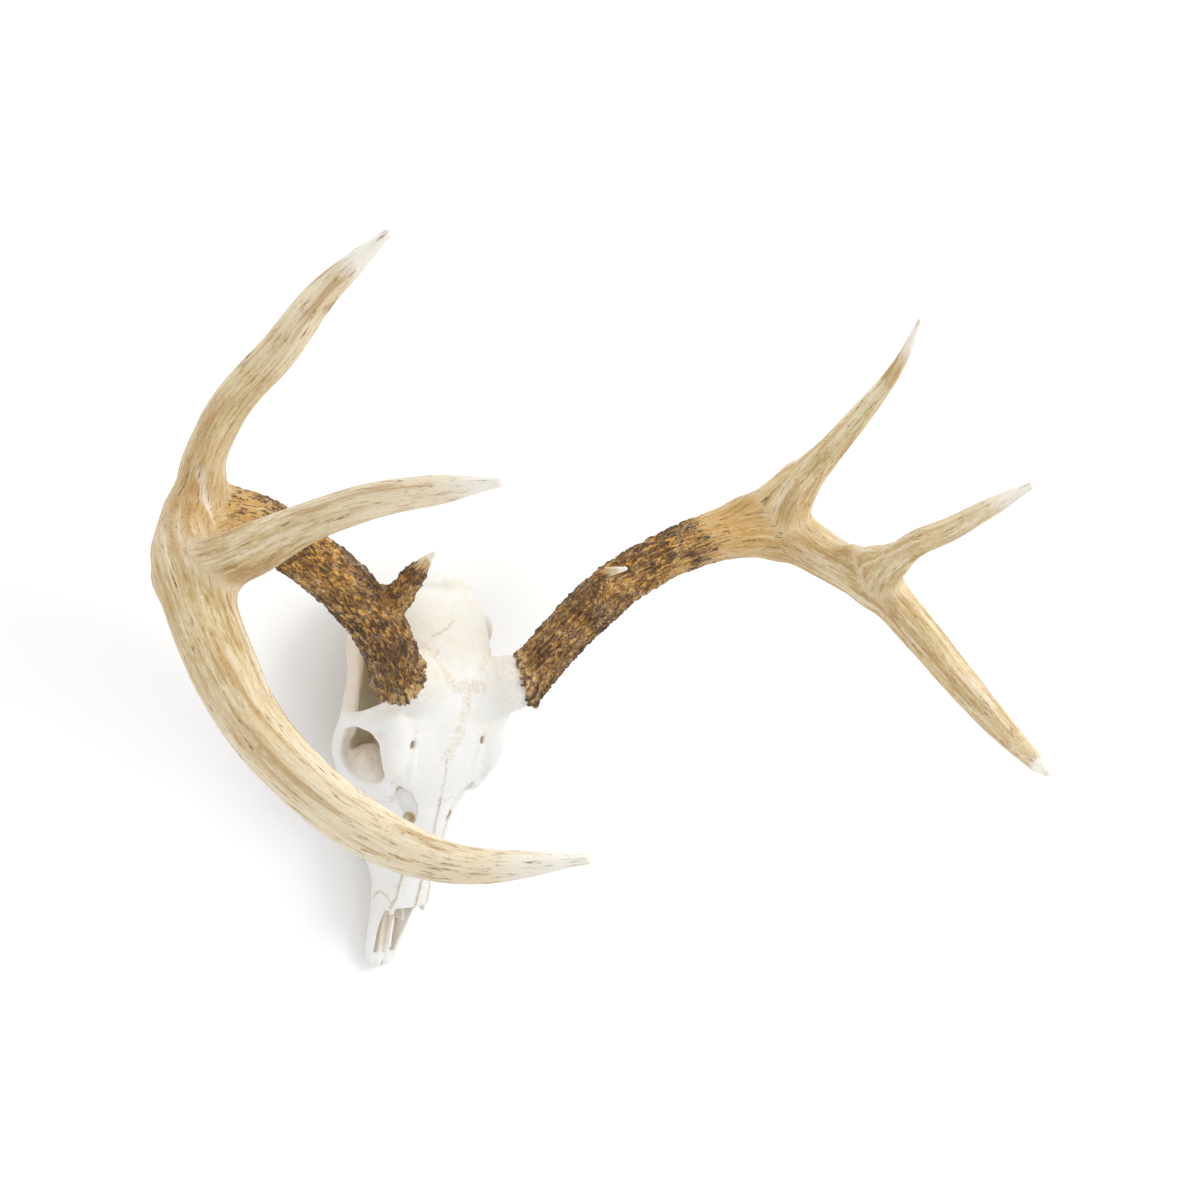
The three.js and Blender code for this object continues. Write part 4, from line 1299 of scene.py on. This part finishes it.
def antler_material(settings):
    """Dark pearled bark at the base, streaked tan above it and ivory at the tips."""
    material, n = new_material("polished antler")
    place, flow = n.place(), n.mask("flow", "Vector")
    even, gold, knobs = n.mask("even"), n.mask("gold"), n.mask("knobs")

    def drawn(across, along, detail, roughness):
        """Noise drawn out along the antler."""
        return n.noise(n.stretch(flow, (across, across, along)), 1.0, detail, roughness)

    cloud = n.noise(place, 22.0, 4.0, 0.6)
    speck = n.noise(place, 330.0, 4.0, 0.7)
    threads = drawn(0.95, 0.07, 5.0, 0.65)
    nicks = drawn(0.9, 0.2, 3.0, 0.6)
    bands = drawn(0.28, 0.011, 4.0, 0.6)
    wrinkle = drawn(0.52, 0.15, 5.0, 0.62)

    depth = n.math("ADD", n.times(n.mask("streak"), 0.75), 0.15)
    tan = n.lay(
        n.mix(n.spread(cloud, 0.35, 0.65), settings.tan_colour, settings.pale_colour),
        # Partly wear, partly painted sheen: paler towards the tips, far along the right beam.
        (n.times(n.mask("pale"), 0.8), settings.worn_and_sheen_colour),
        # Painted highlight: the crotches, where no single rod has the larger share, turn paler.
        (n.math("SUBTRACT", 0.4, n.times(even, 0.4)), settings.worn_and_sheen_colour),
        (n.times(n.times(n.spread(bands, 0.5, 0.36), even), 0.75), settings.worn_and_sheen_colour),
        (n.times(n.spread(nicks, 0.5, 0.36), 0.5), settings.worn_and_sheen_colour),
        (n.times(n.times(n.spread(bands, 0.5, 0.64), even), 0.6), settings.streak_colour),
        (n.times(n.times(n.spread(threads, 0.5, 0.66), even), depth), settings.streak_colour),
        (
            n.times(n.spread(nicks, 0.58, 0.7), n.spread(cloud, 0.4, 0.62, 0.05, 0.6)),
            settings.fleck_colour,
        ),
        (n.times(gold, n.spread(threads, 0.3, 0.6, 0.9, 0.35)), settings.gold_colour),
        (n.times(gold, n.spread(threads, 0.5, 0.62, 0.0, 0.75)), settings.fleck_colour),
        (n.times(n.mask("ivory"), n.spread(threads, 0.62, 0.8, 1.0, 0.75)), settings.ivory_colour),
    )

    shadow = n.spread(n.noise(place, 24.0, 3.0, 0.55), 0.5, 0.62)
    dusk = n.math("MAXIMUM", shadow, n.times(n.mask("low"), 0.6))
    crest = n.times(n.mask("crest"), n.spread(speck, 0.25, 0.6, 0.35, 1.0))
    top = n.math("MAXIMUM", crest, n.times(n.spread(wrinkle, 0.49, 0.6), 0.85))
    # Painted glints: thin cream squiggles in patches, lighter on the bark as if catching the light.
    squiggle = thin_lines(n, drawn(0.42, 0.24, 2.0, 0.5), 0.03)
    painted_glints = n.times(n.spread(n.noise(place, 45.0, 3.0, 0.6), 0.42, 0.55), squiggle)
    cracks = thin_lines(n, wrinkle, 0.036)
    deep = n.math("MAXIMUM", n.times(n.mask("hollow"), 0.85), n.times(cracks, 0.95))
    deep = n.times(deep, n.spread(knobs, 0.1, 0.8, 1.0, 0.3))
    bark = n.lay(
        n.mix(n.spread(cloud, 0.36, 0.62), settings.bark_colour, settings.bark_warm_colour),
        (n.times(dusk, 0.6), settings.dusk_colour),
        (n.times(top, n.spread(dusk, 0, 1, 0.9, 0.4)), settings.pearl_colour),
        (n.times(painted_glints, 0.9), settings.glint_colour),
        (n.times(knobs, 0.9), settings.knob_colour),
        (deep, settings.crevice_colour),
    )

    covered = n.mask("bark")
    ragged = n.math("ADD", covered, n.spread(threads, 0.3, 0.7, -0.6, 0.6))
    colour = n.mix(n.spread(ragged, 0.3, 0.7), tan, bark)
    rough = n.math("ADD", n.spread(speck, 0.3, 0.7, 0.2, 0.4), n.times(deep, 0.25))
    lines = n.times(n.math("SUBTRACT", squiggle, cracks), 1.6)
    relief = n.times(covered, n.math("ADD", n.spread(speck, 0.3, 0.7, 0.0, 1.0), lines))
    base = n.math("ADD", relief, n.times(n.spread(threads, 0.5, 0.7), -0.35))
    grain = grain_node(
        n, Pit_size=700.0, Mottle_size=70.0, Strength=0.45, Height=0.4, Base_height=base,
    )
    finish_material(n, 0.36, Base_Color=colour, Roughness=rough, Normal=grain["Normal"])
    return material


# ---------------------------------------------------------------- settings and operators


def colour_property(name, default, what):
    """A colour of three numbers, shown as a swatch."""
    return FloatVectorProperty(
        name=name, description=what, default=default, size=3, min=0, max=1, subtype="COLOR"
    )


class DeerBoneSettings(bpy.types.PropertyGroup):
    """Colours of the skull."""

    bone_colour: colour_property("Bone", (0.87, 0.865, 0.845), "Bleached bone in the light")
    cream_colour: colour_property("Cream", (0.80, 0.755, 0.65), "Creamier bone over the braincase")
    # Painted shade: the colour of the hollows and of the bone seen through the openings.
    hollow_shade_colour: colour_property("Hollow", (0.54, 0.43, 0.26), "Bone deep inside the openings")
    # Real stain along the seams, and also the tan of painted shade in narrow creases and on inner faces.
    seam_and_shade_colour: colour_property("Seam", (0.70, 0.54, 0.34), "Stain along the wandering seams")
    # Dark lines of the seams, and also painted shade in and round the opening before the eye socket.
    crack_and_shade_colour: colour_property("Crack", (0.50, 0.30, 0.11), "Dark line in the narrow seams")


class DeerAntlerSettings(bpy.types.PropertyGroup):
    """Colours and relief of the antlers."""

    pearl_height: FloatProperty(
        name="Pearl height", description="How far the pearls stand out of the bark",
        default=0.0021, min=0, max=0.004, subtype="DISTANCE", unit="LENGTH",
    )
    tan_colour: colour_property("Tan", (0.55, 0.395, 0.18), "Upper beam and tines")
    pale_colour: colour_property("Pale tan", (0.70, 0.56, 0.31), "Rubbed parts of the upper beam")
    streak_colour: colour_property("Streak", (0.43, 0.245, 0.07), "Long streaks in the tan")
    fleck_colour: colour_property("Fleck", (0.36, 0.19, 0.05), "Small dark flecks in the streaks")
    gold_colour: colour_property("Gold", (0.60, 0.33, 0.07), "Warm stretch above the bark")
    ivory_colour: colour_property("Ivory", (0.93, 0.885, 0.79), "Worn tips")
    bark_colour: colour_property("Bark", (0.19, 0.082, 0.024), "Bark between the pearls")
    bark_warm_colour: colour_property("Warm bark", (0.56, 0.26, 0.045), "Warmer bark")
    pearl_colour: colour_property("Pearl", (0.86, 0.50, 0.13), "Tops of the pearls and ridges")
    knob_colour: colour_property("Burr", (0.92, 0.71, 0.39), "Knobs round the burr")
    # Also the painted sheen on the right beam and the painted highlight in the crotches.
    worn_and_sheen_colour: colour_property("Worn tan", (0.84, 0.735, 0.54), "Paler antler towards the tips")
    dusk_colour: colour_property("Dusk", (0.085, 0.052, 0.045), "Darker patches of the bark")
    # Painted glints on the bark.
    glint_colour: colour_property("Frost", (0.86, 0.74, 0.56), "Rubbed grey patches on the bark")
    crevice_colour: colour_property("Crevice", (0.036, 0.018, 0.010), "Bottom of the furrows")


class DeerStageSettings(bpy.types.PropertyGroup):
    """Floor, lights and lens."""

    floor_colour: colour_property("Floor", (0.97, 0.97, 0.97), "Pale floor")
    key_power: FloatProperty(
        name="Key light", description="Power of the large light", default=13.0, min=0, unit="POWER",
    )
    sky_strength: FloatProperty(
        name="Sky", description="Strength of the even light", default=0.9, min=0,
    )
    lens: FloatProperty(
        name="Lens", description="Focal length", default=0.04296, min=0.01, unit="LENGTH",
    )


class DeerSkullSettings(bpy.types.PropertyGroup):
    """Everything that a user would change."""

    bone: PointerProperty(type=DeerBoneSettings)
    antler: PointerProperty(type=DeerAntlerSettings)
    stage: PointerProperty(type=DeerStageSettings)


class DEER_OT_skull(bpy.types.Operator):
    """Build the skull with its teeth, seams and openings"""

    bl_idname = "deer.skull"
    bl_label = "Skull"

    def execute(self, context):
        settings = context.scene.deer_skull.bone
        points, quads, masks = build_skull()
        piece = skinned_object("cranium", points, quads, masks, bone_material(settings))
        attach(piece, BODY)
        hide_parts(*SKULL_NODES)
        return {"FINISHED"}


class DEER_OT_antlers(bpy.types.Operator):
    """Build the two antlers, from the burr to the tips"""

    bl_idname = "deer.antlers"
    bl_label = "Antlers"

    def execute(self, context):
        settings = context.scene.deer_skull.antler
        material = antler_material(settings)
        for name in SIDES:
            points, quads, masks = build_antler(name, settings.pearl_height)
            piece = skinned_object(f"{name}_antler", points, quads, masks, material)
            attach(piece, BODY)
            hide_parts(*(f"{name}_{node}" for node in ANTLER_NODES))
        return {"FINISHED"}


def area_light(name, power, place, size, share):
    """A round lamp of a share of the power, turned to the skull."""
    data = bpy.data.lights.new(name, "AREA")
    data.shape, data.size, data.energy = "DISK", size, power * share
    light = bpy.data.objects.new(name, data)
    light.location = place
    light.rotation_mode = "QUATERNION"
    light.rotation_quaternion = (Vector(place) - Vector(LIGHTS_AIM)).to_track_quat("Z", "Y")
    bpy.context.scene.collection.objects.link(light)


class DEER_OT_stage(bpy.types.Operator):
    """Lay the floor, set the lights and place the camera"""

    bl_idname = "deer.stage"
    bl_label = "Stage"

    def execute(self, context):
        settings = context.scene.deer_skull.stage
        scene = context.scene
        material, n = new_material("pale floor")
        soft = n.spread(n.noise(n.place(), 3.0, 2.0), 0.2, 0.8, 0.98, 1.0)
        colour = n.mix(soft, FLOOR_SHADE, settings.floor_colour)
        finish_material(n, 0.1, Base_Color=colour, Roughness=0.9)
        mesh = bpy.data.meshes.new("floor")
        corners = ((-1, -1), (1, -1), (1, 1), (-1, 1))
        mesh.from_pydata([(x * FLOOR_REACH, y * FLOOR_REACH, 0) for x, y in corners], [], [range(4)])
        mesh.materials.append(material)
        floor = bpy.data.objects.new("floor", mesh)
        scene.collection.objects.link(floor)

        world = bpy.data.worlds.new("studio")
        world.use_nodes = True
        sky = world.node_tree.nodes["Background"]
        sky.inputs["Color"].default_value = (1, 1, 1, 1)
        sky.inputs["Strength"].default_value = settings.sky_strength
        scene.world = world
        area_light("key", settings.key_power, **KEY_LIGHT)
        area_light("rim", settings.key_power, **RIM_LIGHT)

        data = bpy.data.cameras.new("camera")
        data.sensor_width, data.lens = SENSOR_WIDTH, settings.lens / MM
        data.clip_start, data.clip_end = 0.05, 30
        camera = bpy.data.objects.new("camera", data)
        forward = Vector(LOOK).normalized()
        right = forward.cross(Vector(UP)).normalized()
        above = right.cross(forward)
        turn = Matrix((right, above, -forward)).transposed().to_4x4()
        camera.matrix_world = Matrix.Translation((np.array(EYE) + SKULL_TO_PART) * MM) @ turn
        scene.collection.objects.link(camera)
        scene.camera = camera
        scene.view_settings.view_transform = "Standard"
        return {"FINISHED"}


class DEER_PT_panel(bpy.types.Panel):
    """Builders and settings in the sidebar"""

    bl_label = "Deer skull"
    bl_space_type = "VIEW_3D"
    bl_region_type = "UI"
    bl_category = "Deer skull"

    def draw(self, context):
        settings = context.scene.deer_skull
        for group, builder in (
            (settings.bone, DEER_OT_skull),
            (settings.antler, DEER_OT_antlers),
            (settings.stage, DEER_OT_stage),
        ):
            box = self.layout.box()
            box.operator(builder.bl_idname)
            for key in group.__annotations__:
                box.prop(group, key)


CLASSES = (
    DeerBoneSettings, DeerAntlerSettings, DeerStageSettings, DeerSkullSettings,
    DEER_OT_skull, DEER_OT_antlers, DEER_OT_stage, DEER_PT_panel,
)


def register():
    """Make the classes known to Blender, and hang the settings on the scene."""
    for kind in CLASSES:
        bpy.utils.register_class(kind)
    bpy.types.Scene.deer_skull = PointerProperty(type=DeerSkullSettings)


def unregister():
    """Undo what register does."""
    del bpy.types.Scene.deer_skull
    for kind in reversed(CLASSES):
        bpy.utils.unregister_class(kind)


def main():
    """Build everything in order."""
    register()
    bpy.ops.deer.stage()
    bpy.ops.deer.antlers()
    bpy.ops.deer.skull()


if __name__ == "__main__":
    main()
